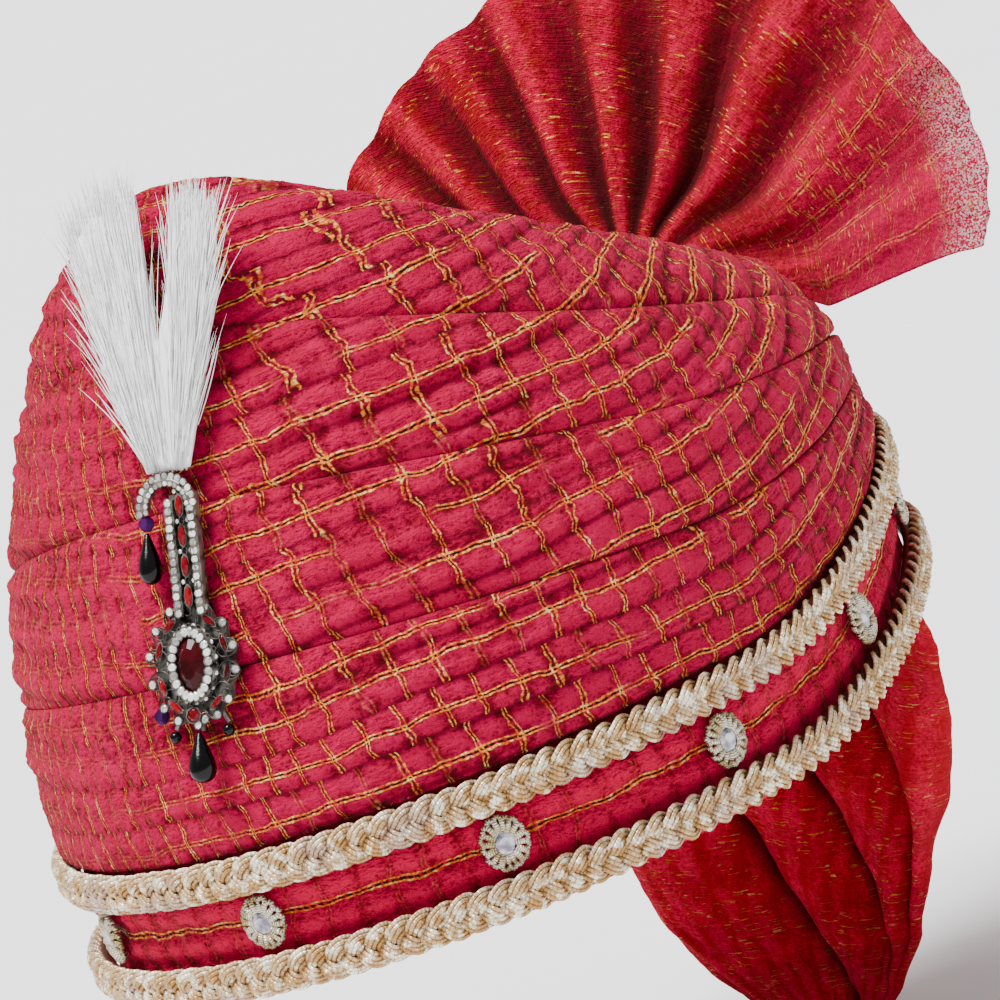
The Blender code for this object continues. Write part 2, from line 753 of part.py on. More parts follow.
def gem(name, place, centre, half_width, half_height, depth, corners, finish, start=0.0):
    """Cut stone with a table, a ring of crown facets and a ring below its girdle."""
    sections = []
    for reach, height in ((0.62, 0.0), (1.0, 0.35), (1.0, 0.5), (0.58, 1.0)):
        section = []
        for corner in range(corners):
            turn = start + 2 * pi * corner / corners
            flat = Vector((half_width * reach * cos(turn), half_height * reach * sin(turn), depth * height))
            section.append(place @ (centre + flat))
        sections.append(section)
    return lofted_solid(name, sections, finish)


def turned(name, place, top, levels, sides, finish):
    """Bead or drop turned about the brooch's upright, hanging down from its top."""
    sections = []
    for radius, below in levels:
        section = []
        for corner in range(sides):
            turn = 2 * pi * corner / sides
            section.append(place @ (top + Vector((radius * cos(turn), -below, radius * sin(turn)))))
        sections.append(section)
    return lofted_solid(name, sections, finish)


def drop_levels(length, radius):
    """Radii down a pear drop."""
    shares = ((0.16, 0.0), (0.42, 0.18), (0.80, 0.45), (1.0, 0.70), (0.80, 0.90), (0.30, 1.0))
    return [(radius * wide, length * below) for wide, below in shares]


def bead_levels(radius):
    """Radii down a round bead."""
    return [(radius * sin(pi * step / 6), radius * (1 - cos(pi * step / 6))) for step in (1, 2, 3, 4, 5)]


def plume(place, finish):
    """Feather plume: locks that part into two tufts, fused at a narrow head."""
    start = PLATE_HALF_HEIGHT + STEM_LENGTH - HOOK_RADIUS * 0.4 + HOOK_RADIUS * 0.95 + RAIL_WIRE + 2 * GAP
    centre = Vector((STEM_OFFSET - HOOK_RADIUS * 0.45, start, PLATE_THICKNESS * 0.9))
    tilt = Matrix.Rotation(-PLUME_LEAN, 4, "X")
    stand = place @ Matrix.Translation(centre) @ tilt
    tips = []
    for lock in PLUME_LOCKS:
        tips.append((lock.notch_across, lock.notch_up, 0.35))
        tips.append((lock.tip_across, lock.tip_up, 1.0))
    tips.append((*PLUME_LAST_NOTCH, 0.35))
    levels = ((0.0, 1.0), (0.16, 0.95), (0.55, 0.75), (1.0, 0.22))
    base = PLUME_BASE_SHARE * PLUME_LENGTH
    front = []
    back = []
    for along, thick in levels:
        front_row = []
        back_row = []
        for number, (across, up, ridge) in enumerate(tips):
            spread = 2 * number / (len(tips) - 1) - 1
            foot = Vector((base * spread, 0, 0))
            tip = Vector((across * PLUME_LENGTH, up * PLUME_LENGTH, 0))
            point = foot.lerp(tip, along)
            point.x += base * 0.9 * spread * along * (1 - along)
            half = PLUME_THICKNESS / 2 * thick * (ridge if along else 1.0)
            front_row.append(stand @ (point + Vector((0, 0, half))))
            back_row.append(stand @ (point - Vector((0, 0, half))))
        front.append(front_row)
        back.append(back_row)
    return sheet_solid("feather_plume", front, back, finish)


def brooch():
    """Silver brooch, its stones, beads and drops, and the plume above it."""
    silver = material("brooch silver", (0.62, 0.60, 0.58), 1.0, 0.25)
    garnet_red = material("garnet", (0.16, 0.005, 0.012), 0.0, 0.1)
    purple = material("purple glass", (0.07, 0.012, 0.09), 0.0, 0.15)
    jet = material("black glass", (0.008, 0.006, 0.008), 0.0, 0.1)
    white = material("white feather", (0.85, 0.85, 0.86), 0.0, 0.9)
    place = brooch_place()

    ring_wide = GARNET_HALF_WIDTH + GAP + RING_WIRE
    ring_tall = GARNET_HALF_HEIGHT + GAP + RING_WIRE
    ring_depth = PLATE_THICKNESS + RING_WIRE * 0.5
    hook = hook_path()
    left = STEM_OFFSET - STEM_HALF_WIDTH + RAIL_WIRE
    rail_start = PLATE_HALF_HEIGHT * 0.80
    rail_end = PLATE_HALF_HEIGHT + STEM_LENGTH - RAIL_WIRE * 0.9
    rail = [
        Vector((left, rail_start + (rail_end - rail_start) * step / 13, hook[0].z * 0.97)) for step in range(14)
    ]
    hook_end = hook[-1]
    depth = PLATE_THICKNESS / 2
    purple_top = hook_end - Vector((0, RAIL_WIRE * sin(pi * HOOK_OVERRUN) + GAP, 0))
    end_top = -PLATE_HALF_HEIGHT - JET_BEAD / 2
    pegs = (
        (Vector((0, -PLATE_HALF_HEIGHT * 0.7, depth)), Vector((0, end_top, depth))),
        (
            Vector((-PLATE_HALF_WIDTH * 0.4, -PLATE_HALF_HEIGHT * 0.7, depth)),
            Vector((-PLATE_HALF_WIDTH * 0.62, -PLATE_HALF_HEIGHT * 1.02, depth)),
        ),
        (
            Vector((PLATE_HALF_WIDTH * 0.4, -PLATE_HALF_HEIGHT * 0.7, depth)),
            Vector((PLATE_HALF_WIDTH * 0.62, -PLATE_HALF_HEIGHT * 1.02, depth)),
        ),
    )
    flat = Matrix.Identity(4)
    shapes = [
        plate_points(flat),
        stem_points(flat),
        beaded_ring(ring_wide, ring_tall, RING_WIRE, 16, ring_depth, flat),
        rod(rail, swelling(len(rail), RAIL_WIRE), 6, flat),
        rod(hook, swelling(len(hook), RAIL_WIRE), 6, flat),
    ]
    shapes += [rod(list(peg), (PEG_RADIUS, PEG_RADIUS), 6, flat) for peg in pegs]
    join_solids("brooch_frame", shapes, silver).data.transform(place)

    garnet_seat = Vector((0, 0, PLATE_THICKNESS + GAP))
    gem("garnet", place, garnet_seat, GARNET_HALF_WIDTH, GARNET_HALF_HEIGHT, GARNET_DEPTH, 12, garnet_red)

    half = PURPLE_BEAD / 2
    bead_centre = purple_top - Vector((0, half, half * 0.8))
    gem("purple_bead_upper", place, bead_centre, half * 1.08, half * 1.08, PURPLE_BEAD * 0.8, 8, purple, pi / 8)
    drop_top = bead_centre + Vector((0, -half - GAP, half * 0.8))
    turned("jet_drop_upper", place, drop_top, drop_levels(SIDE_DROP_LENGTH, SIDE_DROP_RADIUS), 10, jet)

    side_centre = beside_plate(radians(222), half * 1.08 + GAP)
    gem("purple_bead_lower", place, side_centre, half * 1.08, half * 1.08, PURPLE_BEAD * 0.8, 8, purple, pi / 8)
    drop_place = Vector((0, end_top - GAP, END_DROP_RADIUS * 0.85))
    turned("jet_drop_lower", place, drop_place, drop_levels(END_DROP_LENGTH, END_DROP_RADIUS), 10, jet)
    for name, peg in (("jet_bead_left", pegs[1]), ("jet_bead_right", pegs[2])):
        top = peg[1] + Vector((0, -GAP, JET_BEAD / 4))
        turned(name, place, top, bead_levels(JET_BEAD / 2), 10, jet)
    plume(place, white)


def turban():
    """Cloth, trim and flowers."""
    crimson = material("crimson cloth", (0.52, 0.012, 0.055), 0.0, 0.85)
    deep = material("deep crimson cloth", (0.38, 0.006, 0.030), 0.0, 0.85)
    gold = material("pale gold cord", (0.66, 0.52, 0.28), 0.35, 0.5)
    petal = material("silver gold wire", (0.60, 0.54, 0.38), 0.7, 0.4)
    glass = material("mirror glass", (0.55, 0.56, 0.58), 1.0, 0.1)

    ring_solid("rim_band", band_section, crimson)
    ring_solid("braid_lower", braid_section(LOWER_BRAID_Z), gold)
    ring_solid("braid_upper", braid_section(UPPER_BRAID_Z), gold)
    for turn in TURNS:
        ring_solid(turn.name, turn_section(turn), crimson)
    top_cloth(crimson)
    fan(deep)
    tail(deep)
    for number, place in enumerate(flower_places(), 1):
        flower(f"flower_{number:02d}", place, petal)
        mirror(f"mirror_{number:02d}", place, glass)


for old in list(bpy.data.objects):
    bpy.data.objects.remove(old)
turban()
brooch()
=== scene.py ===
from math import atan2, cos, pi, radians, sin

import bmesh
import bpy
import numpy as np
from bpy.props import FloatProperty, FloatVectorProperty, IntProperty, PointerProperty
from mathutils import Matrix, Vector


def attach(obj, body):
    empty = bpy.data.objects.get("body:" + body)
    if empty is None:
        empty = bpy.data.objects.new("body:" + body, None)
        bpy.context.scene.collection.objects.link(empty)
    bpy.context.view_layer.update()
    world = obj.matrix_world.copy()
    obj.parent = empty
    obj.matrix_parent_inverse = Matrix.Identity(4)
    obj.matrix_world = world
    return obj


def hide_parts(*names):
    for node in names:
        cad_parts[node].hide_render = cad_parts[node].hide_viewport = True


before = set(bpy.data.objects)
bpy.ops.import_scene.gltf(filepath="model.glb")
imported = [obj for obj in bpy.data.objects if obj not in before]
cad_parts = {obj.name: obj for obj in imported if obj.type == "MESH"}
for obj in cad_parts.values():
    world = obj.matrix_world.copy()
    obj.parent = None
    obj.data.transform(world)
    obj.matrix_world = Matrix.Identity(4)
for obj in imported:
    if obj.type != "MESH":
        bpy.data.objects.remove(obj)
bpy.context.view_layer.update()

bl_info = {
    "name": "Tied turban",
    "version": (1, 0, 0),
    "blender": (4, 5, 0),
    "location": "3D View > Sidebar > Turban",
    "description": "Dresses the turban's frame with cloth, plaited cord, flowers, brooch and plume",
    "category": "Object",
}

# Sizes of the frame that the cloth and trim follow, in metres
GAP = 0.0003
HEAD_HALF_WIDTH = 0.080
HEAD_HALF_DEPTH = 0.100
BAND_WALL = 0.0132
BAND_HEIGHT = 0.0325
BACK_ARCH = 0.0210
BRAID_HEIGHT = 0.0090
BRAID_DEPTH = 0.0068
LOWER_BRAID_Z = 0.0055
UPPER_BRAID_Z = 0.0280
BAND_HALF_WIDTH = HEAD_HALF_WIDTH + BAND_WALL
BAND_HALF_DEPTH = HEAD_HALF_DEPTH + BAND_WALL
CROWN_HALF_WIDTH = BAND_HALF_WIDTH + 0.0028
CROWN_HALF_DEPTH = BAND_HALF_DEPTH + 0.0028
CROWN_FRONT_HEIGHT = 0.1355
CROWN_BACK_HEIGHT = 0.0485
CROWN_FALL = 1.12
WRAP_LAP = 0.045
# Turns of the crown: name, then the shares of the crown's face at which each starts and ends
TURNS = (
    ("wrap_turn_1", 0.00, 0.27),
    ("wrap_turn_2", 0.27, 0.52),
    ("wrap_turn_3", 0.52, 0.77),
    ("wrap_turn_4", 0.77, 1.10),
)
PLEAT_HEIGHT = 0.0100
CHECK = 0.0080

FLOWER_COUNT = 12
FLOWER_FIRST = radians(3)
FLOWER_HALF_WIDTH = 0.0054
FLOWER_HALF_HEIGHT = 0.00605
FLOWER_DEPTH = 0.0026

FAN_RADIUS = 0.1110
FAN_LEAN = radians(26.4)
FAN_TURN = radians(9)
FAN_ROOT_BACK = 0.0103
FAN_LIFT = 0.0170
FAN_PLEAT_HEIGHT = 0.0050
NECK_HALF_WIDTH = 0.0100
NECK_THICKNESS = 0.0064
NECK_DEPTH = 0.0125
FAN_LEFT = -58
FAN_RIGHT = 84
# Ridges of the fan: degrees from upright, then height as a share of the pleat height
FAN_RIDGES = (
    (-52, 0.55),
    (-42, 0.75),
    (-32, 0.90),
    (-22, 1.00),
    (-10, 1.00),
    (3.5, 1.00),
    (18, 1.00),
    (33, 0.90),
    (54, 0.80),
    (75, 0.45),
)
# Outer edge of the fan: degrees from upright, then share of the fan's radius
FAN_EDGE = (
    (-58, 0.86),
    (-50, 0.91),
    (-40, 0.94),
    (-20, 0.97),
    (0, 0.99),
    (25, 1.00),
    (45, 0.99),
    (60, 0.96),
    (75, 0.91),
    (84, 0.84),
)

TAIL_LENGTH = 0.1180
TAIL_HALF_SPREAD = radians(55)
TAIL_FOLD_HEIGHT = 0.0080
# Sections of the tail: drop, left edge, right edge, depth at the middle and at the edges, and
# fold height, all as shares
TAIL_ROWS = (
    (0.00, -1.00, 1.00, 1.06, 0.61, 0.35),
    (0.18, -0.87, 0.96, 1.10, 0.72, 0.75),
    (0.36, -0.71, 0.82, 1.08, 0.82, 1.00),
    (0.52, -0.66, 0.68, 1.04, 0.88, 1.00),
    (0.68, -0.62, 0.50, 1.01, 0.91, 0.85),
    (0.81, -0.52, 0.38, 0.98, 0.92, 0.70),
    (0.91, -0.38, 0.24, 0.96, 0.93, 0.50),
    (1.00, -0.24, 0.08, 0.95, 0.94, 0.30),
)
# Creases of the tail: drop, then the share across at which each deep crease runs
TAIL_CREASES = (
    (0.00, 0.00, 0.10, 0.30, 0.52, 1.00),
    (0.28, 0.00, 0.21, 0.40, 0.65, 1.00),
    (0.40, 0.00, 0.265, 0.475, 0.75, 1.00),
    (0.48, 0.00, 0.30, 0.53, 0.85, 1.00),
    (0.58, 0.00, 0.35, 0.63, 0.93, 1.00),
    (0.69, 0.00, 0.425, 0.755, 0.955, 1.00),
    (0.77, 0.00, 0.48, 0.825, 0.96, 1.00),
    (0.87, 0.00, 0.60, 0.92, 0.97, 1.00),
    (1.00, 0.00, 0.80, 0.95, 0.98, 1.00),
)

BROOCH_ANGLE = radians(5)
BROOCH_SHARE = 0.29
BROOCH_LEAN = radians(5)
PLATE_HALF_WIDTH = 0.0108
PLATE_HALF_HEIGHT = 0.0128
PLATE_THICKNESS = 0.0014
GARNET_HALF_WIDTH = 0.0035
GARNET_HALF_HEIGHT = 0.0058
STEM_LENGTH = 0.0235
STEM_HALF_WIDTH = 0.0042
STEM_OFFSET = 0.0010
RAIL_WIRE = 0.0014
HOOK_RADIUS = 0.0060
PLUME_LENGTH = 0.0665
PLUME_LEAN = radians(4)


# Shapes of the head band and crown, for single values or for whole arrays


def ease(start, end, value):
    """Goes smoothly from 0 at start to 1 at end."""
    share = np.clip((value - start) / (end - start), 0.0, 1.0)
    return share * share * (3 - 2 * share)


def rim_rise(angle):
    """Rise of the rim over the nape."""
    from_front = np.abs(np.mod(angle + pi, 2 * pi) - pi)
    return BACK_ARCH * ease(radians(70), radians(130), from_front)


def band_face(angle, out, height, half_width=BAND_HALF_WIDTH, half_depth=BAND_HALF_DEPTH):
    """Points on the oval band, moved outwards by out."""
    angle, out, height = np.broadcast_arrays(angle, out, height)
    normal = np.stack([np.sin(angle) / half_width, -np.cos(angle) / half_depth, 0 * angle], -1)
    normal /= np.linalg.norm(normal, axis=-1, keepdims=True)
    face = np.stack([half_width * np.sin(angle), -half_depth * np.cos(angle), height + rim_rise(angle)], -1)
    return face + normal * out[..., None]


def crown_face(angle, share):
    """Points on the crown's smooth outer face."""
    angle, share = np.broadcast_arrays(np.asarray(angle, float), np.asarray(share, float))
    facing = np.cos(angle)
    lean = 0.25 + 0.24 * facing
    size = 1 - lean * np.maximum(share, 0.0) ** (2.6 - 1.1 * facing)
    round_over = 0.5 * (1 + facing) * np.maximum(0.0, share - 0.85) ** 2 / 0.54
    fall = ((1 + facing) / 2) ** CROWN_FALL
    top = CROWN_BACK_HEIGHT + (CROWN_FRONT_HEIGHT - CROWN_BACK_HEIGHT) * fall
    foot = rim_rise(angle) + GAP
    height = BAND_HEIGHT + foot + (top - foot) * (share - round_over)
    return np.stack([CROWN_HALF_WIDTH * size * np.sin(angle), -CROWN_HALF_DEPTH * size * facing, height], -1)


def crown_point(angle, share, out=0.0):
    """Points at a distance outwards from the crown's smooth face."""
    step = 0.004
    low = np.maximum(share - step, 0.0)
    along = crown_face(angle + step, share) - crown_face(angle - step, share)
    up = crown_face(angle, low + 2 * step) - crown_face(angle, low)
    normal = np.cross(along, up)
    normal /= np.linalg.norm(normal, axis=-1, keepdims=True)
    return crown_face(angle, share) + normal * np.asarray(out)[..., None]


def soft_random(x, y, seed, repeat=0):
    """Smooth random values from -1 to 1 over a plane, which may repeat along x."""
    cell_x = np.floor(x).astype(np.int64)
    cell_y = np.floor(y).astype(np.int64)
    share_x = x - cell_x
    share_y = y - cell_y
    share_x = share_x * share_x * (3 - 2 * share_x)
    share_y = share_y * share_y * (3 - 2 * share_y)

    def corner(i, j):
        if repeat:
            i = np.mod(i, repeat)
        mixed = (i * 374761393 + j * 668265263 + seed * 1442695041) & 0xFFFFFFFF
        mixed = ((mixed ^ (mixed >> 13)) * 1274126177) & 0xFFFFFFFF
        return ((mixed ^ (mixed >> 16)) & 0xFFFF) / 32767.5 - 1

    low = corner(cell_x, cell_y) * (1 - share_x) + corner(cell_x + 1, cell_y) * share_x
    high = corner(cell_x, cell_y + 1) * (1 - share_x) + corner(cell_x + 1, cell_y + 1) * share_x
    return low * (1 - share_y) + high * share_y


def ring_random(angle, count, other, seed):
    """Soft random values over an angle, count to the turn, and another measure."""
    return soft_random(angle * count / (2 * pi), other, seed, count)


def fine_crinkle(angle, broad, narrow, broad_seed, narrow_seed):
    """Two layers of fine crinkles round a ring."""
    return ring_random(angle, 300, broad, broad_seed) + 0.6 * ring_random(angle, 560, narrow, narrow_seed)


# Mesh helpers


def point_values(mesh, **values):
    """Stores named values on a mesh's points."""
    for label, numbers in values.items():
        attribute = mesh.attributes.new(label, "FLOAT", "POINT")
        attribute.data.foreach_set("value", np.asarray(numbers, np.float32).ravel())


def grid_mesh(name, points, weave, span, lines, closed_along, closed_across):
    """Mesh over a grid of points, rows across the cloth and columns along it, with its weave map.

    weave holds a column more than points where the grid closes along, and a row more where it
    closes across, so that the pattern runs on over the seam. span is the pleat's height in
    millimetres, and lines says how strongly the lines along the cloth show.
    """
    rows, columns = points.shape[:2]
    faces = []
    corners = []
    for row in range(rows if closed_across else rows - 1):
        after = (row + 1) % rows
        start = row * columns
        stop = after * columns
        for column in range(columns if closed_along else columns - 1):
            beside = (column + 1) % columns
            faces.append((start + column, start + beside, stop + beside, stop + column))
            corners += [(row, column), (row, column + 1), (row + 1, column + 1), (row + 1, column)]
    mesh = bpy.data.meshes.new(name)
    mesh.from_pydata(points.reshape(-1, 3).tolist(), [], faces)
    corners = np.array(corners)
    layer = mesh.uv_layers.new(name="weave")
    layer.data.foreach_set("uv", weave[corners[:, 0], corners[:, 1]].astype(np.float32).ravel())
    point_values(
        mesh, span=np.broadcast_to(span, (rows, columns)), lines=np.broadcast_to(lines, (rows, columns))
    )
    mesh.update()
    return mesh


def show_mesh(name, mesh, finish, smooth=True):
    """Object at the origin for a finished mesh."""
    piece = bpy.data.objects.new(name, mesh)
    bpy.context.scene.collection.objects.link(piece)
    mesh.materials.clear()
    mesh.materials.append(finish)
    if smooth:
        mesh.shade_smooth()
    return piece


def outward(mesh):
    """Turns a closed mesh's faces outwards."""
    shape = bmesh.new()
    shape.from_mesh(mesh)
    bmesh.ops.recalc_face_normals(shape, faces=shape.faces)
    if shape.calc_volume(signed=True) < 0:
        bmesh.ops.reverse_faces(shape, faces=shape.faces)
    shape.to_mesh(mesh)
    shape.free()


def select_only(piece):
    """Makes one piece the only one selected."""
    select_none()
    piece.select_set(True)
    bpy.context.view_layer.objects.active = piece


def apply_modifier(piece, kind, **values):
    """Adds a modifier, sets it and applies it."""
    select_only(piece)
    modifier = piece.modifiers.new(kind.lower(), kind)
    for key, value in values.items():
        setattr(modifier, key, value)
    bpy.ops.object.modifier_apply(modifier=modifier.name)


def select_none():
    """Leaves nothing selected before a new shape is added."""
    if bpy.context.object and bpy.context.object.mode != "OBJECT":
        bpy.ops.object.mode_set(mode="OBJECT")
    bpy.ops.object.select_all(action="DESELECT")


def inset_top(piece, *steps):
    """Insets the faces that look up, by each thickness and depth in turn."""
    bpy.ops.object.mode_set(mode="EDIT")
    bpy.ops.mesh.select_mode(type="FACE")
    bpy.ops.mesh.select_all(action="DESELECT")
    cut = bmesh.from_edit_mesh(piece.data)
    for face in cut.faces:
        face.select = face.normal.z > 0.9
    bmesh.update_edit_mesh(piece.data)
    for thickness, depth in steps:
        bpy.ops.mesh.inset(thickness=thickness, depth=depth)
    bpy.ops.object.mode_set(mode="OBJECT")


def mesh_parts(piece):
    """Points and faces of a model piece, which is then removed."""
    points = np.array([list(piece.matrix_world @ vertex.co) for vertex in piece.data.vertices])
    faces = [list(face.vertices) for face in piece.data.polygons]
    bpy.data.objects.remove(piece)
    return points, faces


def placed(place, x, y, z):
    """Points given in a piece's own frame, moved to where the piece stands."""
    x, y, z = np.broadcast_arrays(x, y, z)
    local = np.stack([x, y, z, np.ones(x.shape)], -1)
    return (local @ np.array(place).T)[..., :3]


def copies_mesh(name, points, faces, places, tint=None):
    """One mesh from many placed copies of a small shape, with a tint for each copy."""
    local = np.c_[points, np.ones(len(points))]
    stack = np.array([[list(row) for row in place] for place in places])
    placed = np.einsum("nij,pj->npi", stack, local)[..., :3].reshape(-1, 3)
    count = len(points)
    every = [[corner + count * number for corner in face] for number in range(len(places)) for face in faces]
    mesh = bpy.data.meshes.new(name)
    mesh.from_pydata(placed.tolist(), [], every)
    if tint is not None:
        point_values(mesh, tint=np.repeat(tint, count))
    mesh.update()
    return mesh


def tube_mesh(name, paths, radii, sides, tint=None, caps=True):
    """One mesh of round strands: paths is strands x points x 3, radii is points or strands x points."""
    paths = np.asarray(paths, float)
    strands, count = paths.shape[:2]
    radii = np.broadcast_to(radii, (strands, count))
    along = np.gradient(paths, axis=1)
    along /= np.linalg.norm(along, axis=-1, keepdims=True)
    guide = np.zeros_like(along)
    guide[..., 2] = 1
    guide[np.abs(along[..., 2]) > 0.92] = (1, 0, 0)
    across = np.cross(along, guide)
    across /= np.linalg.norm(across, axis=-1, keepdims=True)
    other = np.cross(along, across)
    turn = 2 * pi * np.arange(sides) / sides
    ring = (
        across[:, :, None] * np.cos(turn)[None, None, :, None]
        + other[:, :, None] * np.sin(turn)[None, None, :, None]
    )
    points = paths[:, :, None] + ring * radii[:, :, None, None]
    base = []
    for step in range(count - 1):
        for side in range(sides):
            beside = (side + 1) % sides
            near = step * sides
            far = near + sides
            base.append((near + side, near + beside, far + beside, far + side))
    if caps:
        base.append(tuple(range(sides))[::-1])
        base.append(tuple(range((count - 1) * sides, count * sides)))
    size = count * sides
    faces = [tuple(corner + size * strand for corner in face) for strand in range(strands) for face in base]
    mesh = bpy.data.meshes.new(name)
    mesh.from_pydata(points.reshape(-1, 3).tolist(), [], faces)
    length = np.cumsum(np.linalg.norm(np.diff(paths, axis=1, prepend=paths[:, :1]), axis=-1), axis=1)
    point_values(mesh, along=np.repeat(length.ravel(), sides))
    if tint is not None:
        point_values(mesh, tint=np.repeat(tint, size))
    mesh.update()
    return mesh


# Finishes


def tone(red, green, blue):
    """Colour from screen values, 0 to 255."""

    def step(value):
        value /= 255
        return value / 12.92 if value <= 0.04045 else ((value + 0.055) / 1.055) ** 2.4

    return (step(red), step(green), step(blue), 1.0)


class Finish:
    """Node material builder. Each method adds one kind of node and gives its output."""

    def __init__(self, name):
        self.material = bpy.data.materials.new(name)
        self.material.use_nodes = True
        self.tree = self.material.node_tree
        self.shader = self.tree.nodes["Principled BSDF"]

    def node(self, kind, **values):
        made = self.tree.nodes.new("ShaderNode" + kind)
        for key, value in values.items():
            setattr(made, key, value)
        return made

    def join(self, source, target):
        if hasattr(source, "is_output"):
            self.tree.links.new(source, target)
        else:
            target.default_value = source

    def sum(self, operation, *values):
        made = self.node("Math", operation=operation)
        for place, value in enumerate(values):
            self.join(value, made.inputs[place])
        return made.outputs[0]

    def times(self, first, second):
        return self.sum("MULTIPLY", first, second)

    def plus(self, first, second):
        return self.sum("ADD", first, second)

    def minus(self, first, second):
        return self.sum("SUBTRACT", first, second)

    def larger(self, first, second):
        return self.sum("MAXIMUM", first, second)

    def size(self, value):
        return self.sum("ABSOLUTE", value)

    def fraction(self, value):
        return self.sum("FRACT", value)

    def from_half(self, value):
        return self.size(self.minus(value, 0.5))

    def range(self, value, low, high, to_low=0.0, to_high=1.0, smooth=True):
        made = self.node("MapRange", interpolation_type="SMOOTHSTEP" if smooth else "LINEAR")
        self.join(value, made.inputs["Value"])
        made.inputs["From Min"].default_value = low
        made.inputs["From Max"].default_value = high
        made.inputs["To Min"].default_value = to_low
        made.inputs["To Max"].default_value = to_high
        return made.outputs[0]

    def mix(self, share, low, high):
        made = self.node("Mix", data_type="RGBA")
        self.join(share, made.inputs[0])
        self.join(low, made.inputs[6])
        self.join(high, made.inputs[7])
        return made.outputs[2]

    def noise(self, scale, detail=2.0, where=None, rough=0.5):
        made = self.node("TexNoise")
        made.inputs["Scale"].default_value = scale
        made.inputs["Detail"].default_value = detail
        made.inputs["Roughness"].default_value = rough
        self.join(where or self.node("TexCoord").outputs["Object"], made.inputs["Vector"])
        return made.outputs[0]

    def place(self, x, y, z=0.0):
        made = self.node("CombineXYZ")
        for number, value in enumerate((x, y, z)):
            self.join(value, made.inputs[number])
        return made.outputs[0]

    def random(self, x, y):
        made = self.node("TexWhiteNoise", noise_dimensions="2D")
        self.join(self.place(x, y), made.inputs["Vector"])
        return made

    def attribute(self, name):
        return self.node("Attribute", attribute_name=name).outputs["Fac"]

    def set(self, **values):
        for key, value in values.items():
            self.join(value, self.shader.inputs[key.replace("_", " ")])

    def bump(self, height, strength, distance):
        made = self.node("Bump")
        made.inputs["Strength"].default_value = strength
        made.inputs["Distance"].default_value = distance
        self.join(height, made.inputs["Height"])
        self.join(made.outputs[0], self.shader.inputs["Normal"])


